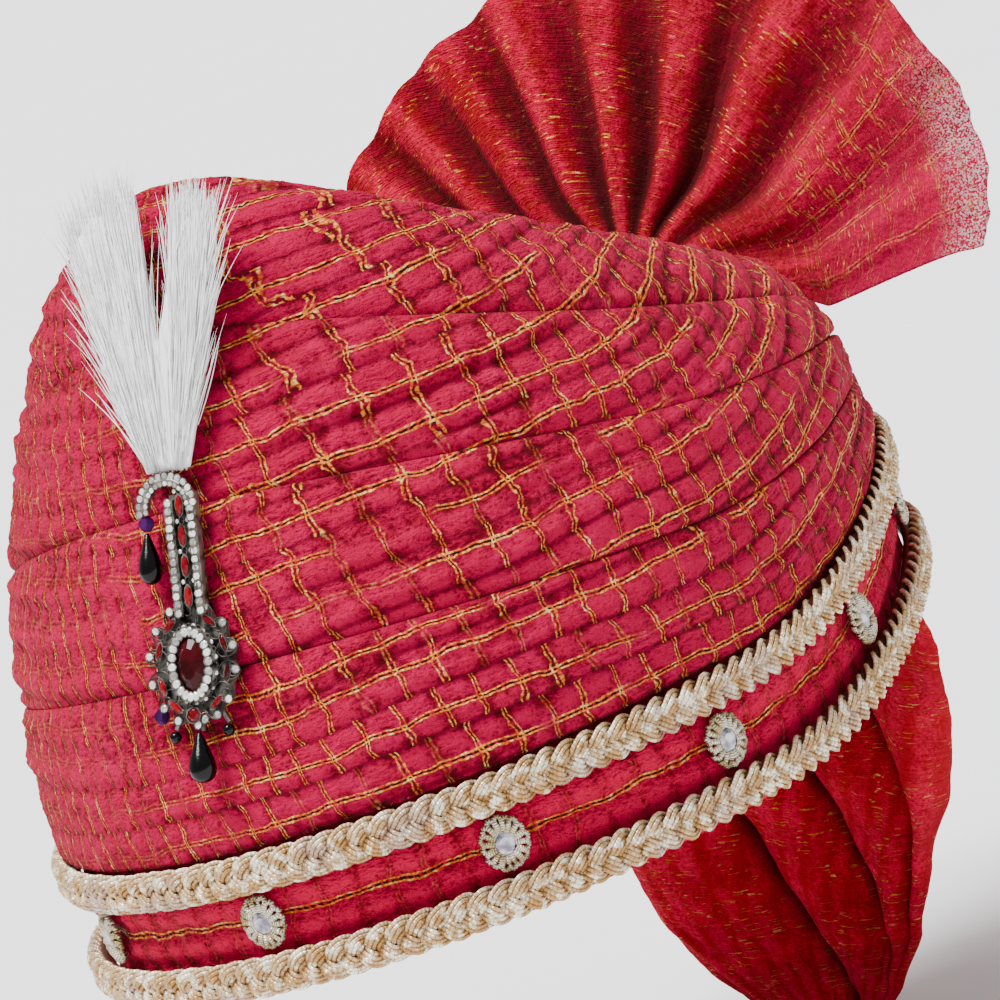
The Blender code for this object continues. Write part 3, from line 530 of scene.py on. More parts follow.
def crinkled_cloth(
    name, light, deep, groove_shade, settings, centre=0.5, wander=0.35, along=1.0, across=1.0, creases=1.0,
    bloom=0.0, flecks=0.0, checks_fade=False, puffed=1.0
):
    """Crinkled cloth with double metallic threads that cross in puffed checks."""
    made = Finish(name)
    weave = made.node("UVMap", uv_map="weave")
    split = made.node("SeparateXYZ")
    made.join(weave.outputs[0], split.inputs[0])
    span = made.attribute("span")
    lines = made.attribute("lines")
    wobble = made.minus(made.noise(95, 3), 0.5)
    sway = made.minus(made.noise(150, 3), 0.5)
    v = made.sum("MULTIPLY_ADD", wobble, made.sum("DIVIDE", 3.4, span), split.outputs[1])
    u = made.sum("MULTIPLY_ADD", sway, 0.60, split.outputs[0])
    cell = made.sum("FLOOR", v)
    inside = made.fraction(v)
    lot = made.random(cell, 3.7)
    chance = made.node("SeparateColor")
    made.join(lot.outputs["Color"], chance.inputs[0])
    middle = made.sum("MULTIPLY_ADD", made.minus(chance.outputs[0], 0.5), wander, centre)

    def double_thread(offset, run, apart, wide):
        """Masks of two threads beside a line, of their stitches and of the dark dashes of painted shadow
        between them.
        """
        away = made.size(offset)
        near = made.size(made.minus(away, apart))
        thread = made.range(near, wide, wide * 0.45)
        side = made.sum("GREATER_THAN", offset, 0.0)
        step = made.fraction(made.sum("MULTIPLY_ADD", side, 0.5, run))
        stitch = made.range(made.from_half(step), 0.48, 0.30)
        shadow_dash = made.fraction(made.times(run, 0.72))
        shadow_dash = made.range(made.from_half(shadow_dash), 0.14, 0.24)
        shadow_dash = made.times(shadow_dash, made.range(away, apart * 0.95, apart * 0.5))
        return thread, stitch, shadow_dash

    from_line = made.minus(inside, middle)
    offset = made.times(from_line, span)
    ragged = made.times(made.minus(made.noise(900, 2), 0.5), 0.42)
    run = made.times(u, CHECK * 1000 / 1.25)
    thread, stitch, shadow_dash = double_thread(made.plus(offset, ragged), run, 0.46, 0.29)
    shown = made.noise(1.0, 1, made.place(made.times(u, 0.40), made.times(cell, 5.3)))
    shown = made.times(made.range(shown, 0.34, 0.46), made.times(lines, along))
    level = made.times(made.times(thread, made.sum("MULTIPLY_ADD", stitch, 0.55, 0.45)), shown)
    dark = made.times(shadow_dash, shown)

    slid = made.sum("MULTIPLY_ADD", chance.outputs[1], 0.55, u)
    block = made.sum("FLOOR", slid)
    from_cross = made.minus(made.fraction(slid), 0.5)
    offset = made.sum("MULTIPLY_ADD", from_cross, CHECK * 1000, ragged)
    run = made.times(made.times(v, span), 1 / 1.35)
    thread, stitch, shadow_dash = double_thread(offset, run, 0.41, 0.26)
    there = made.range(made.random(block, cell).outputs["Value"], 0.08, 0.45, 0.22, 1.0)
    there = made.times(there, across)
    if checks_fade:
        there = made.times(there, made.range(lines, 0.1, 0.6, 0.12, 1.0))
    upright = made.times(made.times(thread, made.sum("MULTIPLY_ADD", stitch, 0.75, 0.25)), there)
    dark = made.larger(dark, made.times(made.times(shadow_dash, there), 0.6))
    mask = made.larger(level, made.times(upright, 0.85))
    if flecks:
        fleck = made.noise(1.0, 2, made.place(made.times(u, 7.0), made.times(made.times(v, span), 0.42)))
        sparse = made.range(made.noise(110, 2), 0.42, 0.54)
        mask = made.larger(mask, made.times(made.times(made.range(fleck, 0.61, 0.64), sparse), flecks))

    beside = made.size(from_line)
    beside = made.times(made.sum("MINIMUM", beside, made.minus(1.0, beside)), span)
    puff = made.times(made.range(beside, 0.5, 3.2), made.range(made.size(from_cross), 0.05, 0.36))
    puff = made.times(puff, puffed)
    straight = made.fraction(split.outputs[1])
    # Darker towards each pleat valley: painted shade
    fold = made.range(made.from_half(straight), 0.20, 0.5)
    # Narrow band at each pleat valley, where shade is painted below
    valley_shade = made.range(made.from_half(straight), 0.40, 0.49)
    grain = made.noise(1150, 3, rough=0.65)
    mottle = made.noise(330, 3)
    broad = made.noise(42, 2)
    streaks = made.noise(1.0, 2, made.place(made.times(u, 4.2), made.times(made.times(v, span), 1.15)))
    # The cloth's tone follows the same noises and puffs as the bump below: painted highlight where they
    # stand raised, painted shade where they sink, with broad random tone mixed in
    mixed = made.plus(made.times(grain, 0.75), made.times(mottle, 0.45))
    mixed = made.plus(mixed, made.times(broad, 0.50))
    mixed = made.plus(mixed, made.times(streaks, 0.45))
    mixed = made.plus(mixed, made.times(puff, 0.34))
    mixed = made.minus(mixed, made.times(fold, 0.20))
    colour = made.mix(made.range(mixed, 0.84, 1.30), deep, light)
    if bloom:
        bright = made.times(made.range(made.noise(64, 2), 0.46, 0.60), made.range(mottle, 0.40, 0.62))
        colour = made.mix(made.times(bright, bloom), colour, tone(184, 0, 70))
    # Painted shade in the pleat valleys, in the groove colour
    crease_shade = made.times(made.times(valley_shade, creases), made.range(lines, 0.0, 1.0, 0.12, 0.46))
    colour = made.mix(crease_shade, colour, groove_shade)
    # Painted shade in the low points of the crinkles
    pit_shade = made.range(made.plus(made.times(grain, 0.6), made.times(streaks, 0.5)), 0.53, 0.36)
    colour = made.mix(made.times(pit_shade, 0.45), colour, groove_shade)
    # Painted shadow in the dark dashes between the paired threads
    colour = made.mix(made.times(dark, 0.95), colour, tone(26, 2, 3))
    glint = made.noise(640, 2)
    bright = (*settings.thread_colour, 1.0)
    gold = made.mix(made.range(glint, 0.36, 0.56), tone(206, 74, 18), bright)
    gold = made.mix(made.range(glint, 0.54, 0.68), gold, tone(255, 214, 128))
    colour = made.mix(made.times(mask, 0.95), colour, gold)
    made.set(Base_Color=colour)
    made.set(Roughness=made.range(mask, 0.0, 1.0, 0.85, 0.45, smooth=False))
    made.set(Metallic=made.times(mask, 0.2))
    made.set(Sheen_Weight=0.02, Sheen_Roughness=0.4, Specular_IOR_Level=0.08)
    height = made.plus(made.times(grain, 0.85), made.times(streaks, 0.85))
    height = made.plus(height, made.times(mottle, 0.7))
    height = made.plus(height, made.times(puff, 0.7))
    height = made.plus(height, made.times(mask, 0.35))
    made.bump(height, 0.9, 0.0013)
    return made.material


def crown_cloth(name, cloth, **looks):
    """Crinkled cloth in the crown's three colours: light and deep tones that carry painted highlight and
    shade on the crinkles, and a groove colour of painted shade.
    """
    colours = [(*colour, 1) for colour in (cloth.light_colour, cloth.deep_colour, cloth.groove_shade_colour)]
    return crinkled_cloth(name, *colours, cloth, bloom=0.5, **looks)


def shade_valleys(material, dark, strength, wide=0.72, net=0.0):
    """Deepens a folded cloth's colour towards its valleys with painted shade, from the crest attribute, and
    lightens it with a painted highlight from the glow attribute.
    """
    made = Finish.__new__(Finish)
    made.material = material
    made.tree = material.node_tree
    made.shader = made.tree.nodes["Principled BSDF"]
    colour = made.shader.inputs["Base Color"].links[0].from_socket
    # Strength of the painted shade: more towards the valleys, scaled by the depth attribute
    depth = made.times(made.range(made.attribute("crest"), wide, 0.05), made.attribute("depth"))
    glow = made.attribute("glow")
    # Painted shade in the valleys
    shaded = made.mix(made.times(depth, strength), colour, dark)
    # Painted highlight where the glow attribute is set
    shaded = made.mix(made.times(glow, 0.45), shaded, tone(214, 4, 84))
    if net:
        holes = made.times(made.range(made.noise(1900, 2), 0.46, 0.56), made.attribute("sheer"))
        shaded = made.mix(made.times(holes, net), shaded, tone(246, 222, 224))
    made.set(Base_Color=shaded)


# Settings that a user would change


class TurbanClothSettings(bpy.types.PropertyGroup):
    # Light colour: painted highlight where the crinkles and puffs stand raised, mixed with random tone
    light_colour: FloatVectorProperty(
        name="Light colour", description="Colour of the crown's cloth on its raised threads",
        subtype="COLOR",
        default=tone(168, 0, 55)[:3], min=0, max=1)
    # Deep colour: painted shade where the crinkles sink and towards the pleat valleys, mixed with random
    # tone
    deep_colour: FloatVectorProperty(
        name="Deep colour", description="Colour of the crown's cloth between its raised threads",
        subtype="COLOR",
        default=tone(98, 0, 18)[:3], min=0, max=1)
    # Groove colour: painted shade at the bottom of the crinkles and in the pleat valleys
    groove_shade_colour: FloatVectorProperty(
        name="Groove colour", description="Colour at the bottom of the crinkles", subtype="COLOR",
        default=tone(44, 0, 4)[:3], min=0, max=1)
    thread_colour: FloatVectorProperty(
        name="Thread colour", description="Colour of the metallic threads", subtype="COLOR",
        default=tone(246, 152, 44)[:3], min=0, max=1)
    pleat_depth: FloatProperty(
        name="Pleat depth", description="Height of the crown's soft pleats",
        default=0.0015, min=0, max=0.004, unit="LENGTH")
    crinkle_depth: FloatProperty(
        name="Crinkle depth", description="Height of the fine crinkles",
        default=0.00028, min=0, max=0.001, unit="LENGTH")
    sheet_thickness: FloatProperty(
        name="Cloth thickness", description="Thickness of a folded layer of cloth",
        default=0.0008, min=0.0005, max=0.003, unit="LENGTH")


class TurbanTrimSettings(bpy.types.PropertyGroup):
    strand_radius: FloatProperty(
        name="Strand radius", description="Radius of one cord in the plait",
        default=0.00056, min=0.0003, max=0.001, unit="LENGTH")
    plait_pitch: FloatProperty(
        name="Plait pitch", description="Length of braid from one edge lobe to the next",
        default=0.0044, min=0.0015, max=0.008, unit="LENGTH")
    cord_colour: FloatVectorProperty(
        name="Cord colour", description="Colour of the plaited cord",
        subtype="COLOR", default=tone(214, 184, 142)[:3], min=0, max=1)
    petals: IntProperty(
        name="Petals", description="Wound loops round each mirror", default=16, min=8, max=24
    )


class TurbanBroochSettings(bpy.types.PropertyGroup):
    stone_radius: FloatProperty(
        name="Stone radius", description="Radius of the small clear stones",
        default=0.00088, min=0.0005, max=0.0015, unit="LENGTH")
    ring_stones: IntProperty(
        name="Ring stones", description="Clear stones round the garnet", default=22, min=12, max=30
    )
    metal_colour: FloatVectorProperty(
        name="Metal colour", description="Colour of the brooch's metal",
        subtype="COLOR", default=tone(128, 122, 114)[:3], min=0, max=1)
    garnet_colour: FloatVectorProperty(
        name="Garnet colour", description="Colour of the large stone",
        subtype="COLOR", default=tone(58, 2, 8)[:3], min=0, max=1)
    barbs: IntProperty(name="Barbs", description="Fine barbs in the plume", default=3400, min=200, max=4000)
    feather_colour: FloatVectorProperty(
        name="Feather colour", description="Colour of the plume",
        subtype="COLOR", default=tone(254, 254, 254)[:3], min=0, max=1)


class TurbanStageSettings(bpy.types.PropertyGroup):
    floor_colour: FloatVectorProperty(
        name="Floor colour", description="Colour of the plain floor",
        subtype="COLOR", default=(0.93, 0.93, 0.93), min=0, max=1)
    key_strength: FloatProperty(
        name="Key light", description="Strength of the large soft light", default=7.6, min=0, max=20
    )
    sky_strength: FloatProperty(
        name="Surrounding light", description="Strength of the light from all round", default=0.56, min=0,
        max=5
    )


# Cloth


def crown_rise(angle):
    """Length up the crown's face, from the band to the top, at each angle."""
    return np.linalg.norm(crown_face(angle, 0.9) - crown_face(angle, 0.0), axis=-1) / 0.9


def pleat_count(angle, share):
    """How many pleats lie below a place on the crown; they run on unevenly, level with the band."""
    drift = 0.16 * ring_random(angle, 8, share * 3.1, 5)
    drift += 0.12 * ring_random(angle, 23, share * 5.7, 8)
    return share * crown_rise(angle) / PLEAT_HEIGHT + drift


def pleat_relief(angle, share, count, settings):
    """Height of pleats, small folds and crinkles over the crown's smooth face."""
    number = np.floor(count)
    inside = count - number
    ridge = ease(0.0, 0.24, inside) * (1 - inside) ** 0.75 * 1.35
    loose = 0.52 + 0.48 * ring_random(angle, 12, number * 1.73, 11)
    loose = loose * (0.42 + 0.58 * ease(radians(16), radians(44), np.abs(angle + radians(8))))
    behind = ease(radians(30), radians(110), np.abs(angle))
    small = ring_random(angle, 26, count * 2.9, 17)
    crinkle = fine_crinkle(angle, share * 80, share * 145, 23, 29)
    relief = settings.pleat_depth * ridge * loose * (1.0 - 0.35 * behind)
    relief += (0.00030 + 0.00042 * behind) * small
    thin = ring_random(angle, 34, count * 5.4, 19)
    relief += 0.00042 * thin * ease(radians(18), radians(52), np.abs(angle))
    height = share * crown_rise(angle)
    side = ease(radians(40), radians(54), np.abs(angle))
    side = side * (1 - ease(radians(96), radians(108), np.abs(angle)))
    for edge, strength in ((0.0970, 1 - behind * 0.7), (0.0690, side)):
        climb = ease(edge - 0.013, edge - 0.001, height)
        relief += 0.0010 * strength * climb * ease(edge + 0.0012, edge, height)
    return relief + settings.crinkle_depth * crinkle * (1 - 0.4 * behind)


def lengths_along(points):
    """Length from the first of a row of points to each."""
    return np.concatenate([[0.0], np.cumsum(np.linalg.norm(np.diff(points, axis=0), axis=1))])


def around_lengths(points):
    """Length along a closed row of points, with the whole length last."""
    return lengths_along(np.concatenate([points, points[:1]]))


class TURBAN_OT_wrap_turns(bpy.types.Operator):
    """Lays the crown's four wound turns, each over the foot of the next one up"""
    bl_idname = "turban.wrap_turns"
    bl_label = "Wound turns"

    def execute(self, context):
        cloth = context.scene.turban_cloth
        finish = crown_cloth("crinkled crown cloth", cloth)
        columns = 680
        angle = np.linspace(-pi, pi, columns, endpoint=False)[None, :]
        wall = cloth.sheet_thickness
        hidden = wall + 0.0004
        for name, low, high in TURNS:
            height = high - low
            first = low - WRAP_LAP * 0.8 if low else low
            tuck = np.linspace(first, low, 3, endpoint=False) if low else np.zeros(0)
            outer = np.concatenate([tuck, np.linspace(low, high, 47)])
            share = outer[:, None]
            place = (share - low) / height
            base = np.interp(
                place, [-0.2, 0.0, 0.06, 0.30, 0.52, 0.76, 0.94, 1.0],
                [-hidden, -hidden, 0.0, 0.0006, 0.0004, 0.0006, 0.0002, 0.0]
            )
            if not low:
                base = np.interp(
                    place, [0.0, 0.06, 0.30, 0.52, 0.76, 0.94, 1.0],
                    [0.0, 0.0002, 0.0006, 0.0004, 0.0006, 0.0002, 0.0]
                )
            count = pleat_count(angle, share)
            open_cloth = 1 - 0.75 * ease(0.93, 1.0, place)
            if low:
                open_cloth = open_cloth * ease(0.0, 0.10, place)
            relief = pleat_relief(angle, share, count, cloth) * open_cloth
            wave = 0.006 * ring_random(angle, 9, high * 9.0, 41)
            wavy_edge = wave * ease(0.2, 1.0, place)
            face = crown_point(angle + 0 * share, share + wavy_edge, base + relief)
            turned = crown_point(angle, high + 0.004 + wavy_edge[-1:], -wall * 0.5 + 0 * angle)
            back = outer[::-8]
            back_share = back[:, None]
            back_place = (back_share - low) / height
            back_levels = [-hidden, -hidden, 0.0, 0.0] if low else [0, 0, 0, 0]
            back_base = np.interp(back_place, [-0.2, 0.0, 0.10, 1.0], back_levels)
            back_wavy = wave * ease(0.2, 1.0, back_place)
            inner = crown_point(angle + 0 * back_share, back_share + back_wavy, back_base - wall + 0 * angle)
            points = np.concatenate([face, turned, inner])
            lengths = around_lengths(crown_face(angle[0], np.full(columns, (low + high) / 2)))
            turned_round = np.append(angle[0], pi)
            crowd = 1 + 0.45 * (
                ease(radians(-80), radians(-40), turned_round)
                - ease(radians(2), radians(26), turned_round)
            )
            along = np.concatenate([[0.0], np.cumsum(np.diff(lengths) * (crowd[1:] + crowd[:-1]) / 2)])
            along = along / along[-1] * round(along[-1] / CHECK)
            leaning = 0.24 * (1 - ease(radians(20), radians(75), np.abs(turned_round + radians(10))))
            v_face = np.concatenate([count, count[-1:], pleat_count(angle, back_share)])
            v_face = np.concatenate([v_face, v_face[:, :1]], axis=1)
            v_face = np.concatenate([v_face, v_face[:1]], axis=0)
            weave = np.stack([along + leaning * v_face * PLEAT_HEIGHT / CHECK, v_face], -1)
            level = 0.10 + 0.90 * ease(radians(-14), radians(12), angle[0])
            level = np.maximum(level, ease(radians(-60), radians(-95), angle[0]))
            mesh = grid_mesh(name + "_cloth", points, weave, PLEAT_HEIGHT * 1000, level, True, True)
            outward(mesh)
            piece = show_mesh(name + "_cloth", mesh, finish)
            across = np.linalg.norm(np.diff(crown_face(0.9, outer), axis=0), axis=-1).sum()
            dress(piece, "crinkled_cloth", name)
        return {"FINISHED"}


def dress(piece, slot, *nodes):
    """Fixes a finished piece to the turban, in place of the plain solids that it stands for."""
    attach(piece, "root")
    if nodes:
        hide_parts(*nodes)


class TURBAN_OT_rim_band(bpy.types.Operator):
    """Winds the thick cloth band round the head opening"""
    bl_idname = "turban.rim_band"
    bl_label = "Rim band"

    def execute(self, context):
        cloth = context.scene.turban_cloth
        finish = crinkled_cloth(
            "crinkled band cloth", tone(200, 1, 62), tone(122, 0, 22), (*cloth.groove_shade_colour, 1), cloth,
            centre=0.5, wander=0.0, across=0.12, creases=0.0)
        columns = 640
        angle = np.linspace(-pi, pi, columns, endpoint=False)[None, :]
        middle = (LOWER_BRAID_Z + UPPER_BRAID_Z) / 2
        edge = 0.0020
        rise = np.linspace(0.0, 1.0, 36)
        between = 0.0020 + rise * (BAND_HEIGHT - 0.0024)
        height = np.concatenate([[0.0, 0.0006], between, [BAND_HEIGHT - 0.0001, BAND_HEIGHT]])[:, None]
        out = np.concatenate([[-edge, -0.0008], 0 * rise, [-0.0005, -0.0012]])[:, None]
        away = (height - middle) / (UPPER_BRAID_Z - LOWER_BRAID_Z)
        folds = 0.0011 * (np.cos(away * 2 * pi * 2.9) * -0.5 + 0.5) * ease(0.40, 0.22, np.abs(away))
        crinkle = fine_crinkle(angle, height * 800, height * 1500, 3, 7)
        small = ring_random(angle, 22, height * 330, 9)
        relief = (folds + 0.00022 * small + 0.0002 * crinkle) * ease(0.0, 0.003, height)
        relief = relief * ease(BAND_HEIGHT, BAND_HEIGHT - 0.003, height)
        face = band_face(angle + 0 * height, out + relief, height + 0 * angle)
        steps = np.linspace(BAND_HEIGHT, 0.0, 16)[:, None]
        lining = 0.0003 * ring_random(angle, 18, steps * 260, 13)
        lining = lining + 0.00015 * ring_random(angle, 260, steps * 700, 15)
        lining = -np.abs(lining) + 0 * angle
        lining = np.clip(lining + 0.0002, 0.0, 0.001)
        inner = band_face(angle + 0 * steps, lining, steps + 0 * angle, HEAD_HALF_WIDTH, HEAD_HALF_DEPTH)
        points = np.concatenate([face, inner])
        lengths = around_lengths(band_face(angle[0], 0.0, 0.01))
        along = lengths / lengths[-1] * round(lengths[-1] / CHECK)
        v = np.concatenate([0.5 + away, 0.5 + (steps - middle) / 0.0225 + 3.0])
        v = np.broadcast_to(v, (len(v), columns))
        v = np.concatenate([v, v[:, :1]], axis=1)
        v = np.concatenate([v, v[:1]], axis=0)
        weave = np.stack([np.broadcast_to(along, v.shape), v], -1)
        mesh = grid_mesh("band_cloth", points, weave, 22.5, 1.0, True, True)
        outward(mesh)
        piece = show_mesh("band_cloth", mesh, finish)
        dress(piece, "crinkled_cloth", "rim_band")
        return {"FINISHED"}


class TURBAN_OT_top_cloth(bpy.types.Operator):
    """Closes the crown with gathered cloth that sags inside the last turn"""
    bl_idname = "turban.top_cloth"
    bl_label = "Top cloth"

    def execute(self, context):
        cloth = context.scene.turban_cloth
        finish = crown_cloth("crinkled top cloth", cloth, along=0.9, checks_fade=True)
        columns = 372
        angle = np.linspace(-pi, pi, columns, endpoint=False)
        share = TURNS[-1][2] - WRAP_LAP
        edge = crown_point(angle, share, np.full(columns, -cloth.sheet_thickness - 0.0012))
        from_back = pi - np.abs(angle)
        edge[:, 1] -= (NECK_THICKNESS + 0.0044) * (1 - ease(radians(8.5), radians(12), from_back))
        centre = (edge[columns // 2] + edge[0]) / 2 - np.array([0, 0, 0.0140])
        reach = np.linspace(1.0, 0.004, 48)[:, None]
        turn = angle[None, :]
        pleats = 34
        phase = turn * pleats / (2 * pi) + 0.5 * ring_random(turn, 7, reach * 3, 71)
        inside = phase - np.floor(phase)
        fold = (ease(0, 0.3, inside) * (1 - inside) ** 0.7 - 0.35) * 0.0042
        loose = 0.75 + 0.25 * soft_random(np.floor(phase), 0 * phase, 73, pleats)
        fold = fold * loose * reach * (1.06 - reach) * 3.0
        fold += 0.0003 * ring_random(turn, 200, reach * 60, 75) * reach
        points = centre + (edge[None] - centre) * reach[..., None]
        points[..., 2] += 0.0140 * (reach * reach - reach) + fold
        rows = len(reach)
        total = round(2 * pi * 0.085 / 0.0125)
        along = np.linspace(0, total, columns + 1)
        u = np.broadcast_to(reach * 10.6, (rows, columns + 1))
        v = np.broadcast_to(along[None] * 1.0, (rows, columns + 1))
        weave = np.stack([u, v], -1)
        span = 10.0 * np.maximum(reach, 0.15)
        mesh = grid_mesh("top_cloth_folds", points, weave, span, ease(0.22, 0.62, reach), True, False)
        cap = bmesh.new()
        cap.from_mesh(mesh)
        cap.verts.ensure_lookup_table()
        cap.faces.new([cap.verts[(rows - 1) * columns + column] for column in range(columns)][::-1])
        cap.to_mesh(mesh)
        cap.free()
        piece = show_mesh("top_cloth_folds", mesh, finish)
        flip_upwards(piece)
        apply_modifier(piece, "SOLIDIFY", thickness=cloth.sheet_thickness, offset=-1.0)
        outward(piece.data)
        dress(piece, "crinkled_cloth", "top_cloth")
        return {"FINISHED"}


def flip_upwards(piece):
    """Turns an open sheet's faces so that most look up."""
    mesh = piece.data
    total = sum(face.normal.z * face.area for face in mesh.polygons)
    if total < 0:
        mesh.flip_normals()


def fan_place():
    """Root of the fan with its directions across, up and to the front."""
    across = Vector((cos(FAN_TURN), sin(FAN_TURN), 0))
    up = Vector((-sin(FAN_LEAN) * sin(FAN_TURN), sin(FAN_LEAN) * cos(FAN_TURN), cos(FAN_LEAN)))
    front = up.cross(across).normalized()
    if front.y > 0:
        front.negate()
    rim = Vector(crown_face(pi, TURNS[-1][2]))
    root = Vector((0, rim.y - FAN_ROOT_BACK, rim.z - FAN_LIFT * cos(FAN_LEAN) + 4 * GAP))
    return root, across, up, front, rim


class TURBAN_OT_fan(bpy.types.Operator):
    """Spreads the pleated fan that stands behind the crown"""
    bl_idname = "turban.fan"
    bl_label = "Fan"

    def execute(self, context):
        cloth = context.scene.turban_cloth
        finish = crinkled_cloth(
            "sheer fan cloth", tone(204, 0, 60), tone(142, 0, 20), tone(90, 0, 5), cloth,
            along=0.85, across=0.9, creases=0.0, flecks=1.0, checks_fade=True, puffed=0.15
        )
        # Painted shade in the fan's valleys and a painted highlight on its flat right side
        shade_valleys(finish, tone(52, 0, 2), 0.95, 0.97, 0.6)
        root, across, up, front, rim = fan_place()
        across, up, front = (np.array(way) for way in (across, up, front))
        columns = 401
        degrees_across = np.linspace(FAN_LEFT, FAN_RIGHT, columns)
        ridges = np.array(FAN_RIDGES)
        middles = (ridges[:-1, 0] + ridges[1:, 0]) / 2
        valleys = np.concatenate([[FAN_LEFT], middles, [FAN_RIGHT]])
        fold = np.zeros(columns)
        which = np.clip(np.searchsorted(valleys, degrees_across, side="right") - 1, 0, len(ridges) - 1)
        start = valleys[which]
        end = valleys[which + 1]
        inside = (degrees_across - start) / (end - start)
        crest = (ridges[which, 0] - start) / (end - start)
        inside = np.where(inside < crest, 0.5 * inside / crest, 0.5 + 0.5 * (inside - crest) / (1 - crest))
        rounded = np.sin(pi * inside) ** 1.7
        tall = ridges[which, 1]
        fold = tall * (rounded * 1.60 - 0.64)
        fold *= ease(FAN_LEFT, FAN_LEFT + 4, degrees_across) * ease(FAN_RIGHT, FAN_RIGHT - 6, degrees_across)
        edge_share = np.interp(degrees_across, [row[0] for row in FAN_EDGE], [row[1] for row in FAN_EDGE])
        direction = np.radians(degrees_across)
        rows = []
        wall = rim.y - 0.004 - 0.0009 - NECK_THICKNESS / 2
        tucked = crown_face(pi, TURNS[-1][1])[1] - 0.0044 - 0.004 - 0.0009 - NECK_THICKNESS / 2
        for height, depth, width in (
            (rim.z - NECK_DEPTH, tucked, 0.95),
            (rim.z - NECK_DEPTH * 0.75, tucked * 0.75 + wall * 0.25, 1.0),
            (rim.z - NECK_DEPTH / 2, (tucked + wall) / 2, 1.05),
            (rim.z - NECK_DEPTH / 4, tucked * 0.25 + wall * 0.75, 1.12),
            (rim.z + 4 * GAP, wall, 1.20),
        ):
            x = NECK_HALF_WIDTH * width * np.linspace(-1, 1, columns)
            rows.append(np.stack([x, depth - 0.0016 * fold, np.full(columns, height)], -1))
        levels = np.concatenate([np.linspace(0.13, 0.50, 38, endpoint=False), np.linspace(0.50, 1.0, 50)])
        share_on = np.interp(
            levels, [0.13, 0.27, 0.48, 0.70, 0.86, 1.0], [0.0, 0.30, 0.75, 0.95, 0.72, 0.42]
        )
        wave = soft_random(degrees_across / 9.0, degrees_across * 0, 81)
        for level, strength in zip(levels, share_on):
            ragged = 0.004 * soft_random(degrees_across * 0.9, 0 * degrees_across, 89)
            ragged = ragged * ease(30, 60, degrees_across)
            edge = FAN_RADIUS * (edge_share + ragged)
            blend = ease(0.40, 0.60, level)
            radius = level * (edge * blend + FAN_RADIUS * (1 - blend))
            lift = FAN_LIFT * (1 - ease(0.12, 0.54, level))
            soft = soft_random(degrees_across / 3.2, np.full(columns, level * 5.0), 83)
            fine = soft_random(degrees_across * 1.3, np.full(columns, level * 55.0), 85)
            fine += 0.7 * soft_random(degrees_across * 2.6, np.full(columns, level * 100.0), 87)
            curl = 0.0016 * np.sin(level * 9 + degrees_across / 11) * ease(0.5, 1.0, level)
            rise = FAN_PLEAT_HEIGHT * 0.92 * strength * fold
            rise = rise + 0.0007 * soft * level + 0.00024 * fine * level + curl
            edge_roll = 0.0012 * wave * ease(0.90, 1.0, level)
            point = np.array(root) + across * (radius * np.sin(direction))[:, None]
            point = point + up * (radius * np.cos(direction) + lift + edge_roll)[:, None]
            point = point + front * rise[:, None]
            rows.append(point)
        points = np.array(rows)
        count = len(points)
        run = np.concatenate([np.linspace(-1.8, 0.2, 5), levels * FAN_RADIUS / CHECK])
        u = np.broadcast_to(run[:, None], (count, columns))
        v = np.broadcast_to((degrees_across / 7.4 + 0.12 * wave)[None] + 20, (count, columns))
        weave = np.stack([u, v], -1)
        span = np.radians(7.4) * np.maximum(run, 1.0) * CHECK * 1000
        outwards = np.linspace(0, 1, count)
        flat_side = ease(38, 60, degrees_across)[None, :] * ease(0.35, 0.65, outwards)[:, None]
        left_side = 0.75 * ease(-38, -52, degrees_across)[None, :] * np.ones((count, 1))
        lines = np.clip(flat_side + left_side + 0.04, 0, 1)
        mesh = grid_mesh("fan_cloth", points, weave, span[:, None], lines, False, False)
        # Strength of the painted valley shade: full near the root, weaker outwards
        shallow = np.interp(outwards, [0, 0.35, 0.75, 1.0], [1.0, 1.0, 0.85, 0.55])
        sheer = ease(50, 70, degrees_across)[None, :] * ease(0.84, 0.97, outwards)[:, None]
        # Weaker painted valley shade on the flat right side
        side = 1 - 0.6 * ease(34, 56, degrees_across)
        crest = np.broadcast_to(rounded[None] ** 1.25, (count, columns))
        # Painted highlight on the flat right side, stronger towards its edge
        glow = flat_side * (0.35 + 0.65 * ease(52, 84, degrees_across))[None, :]
        point_values(mesh, sheer=sheer, crest=crest, depth=shallow[:, None] * side[None, :], glow=glow)
        piece = show_mesh("fan_cloth", mesh, finish)
        apply_modifier(piece, "SOLIDIFY", thickness=cloth.sheet_thickness, offset=0.0)
        outward(piece.data)
        dress(piece, "sheer_cloth", "fan")
        return {"FINISHED"}


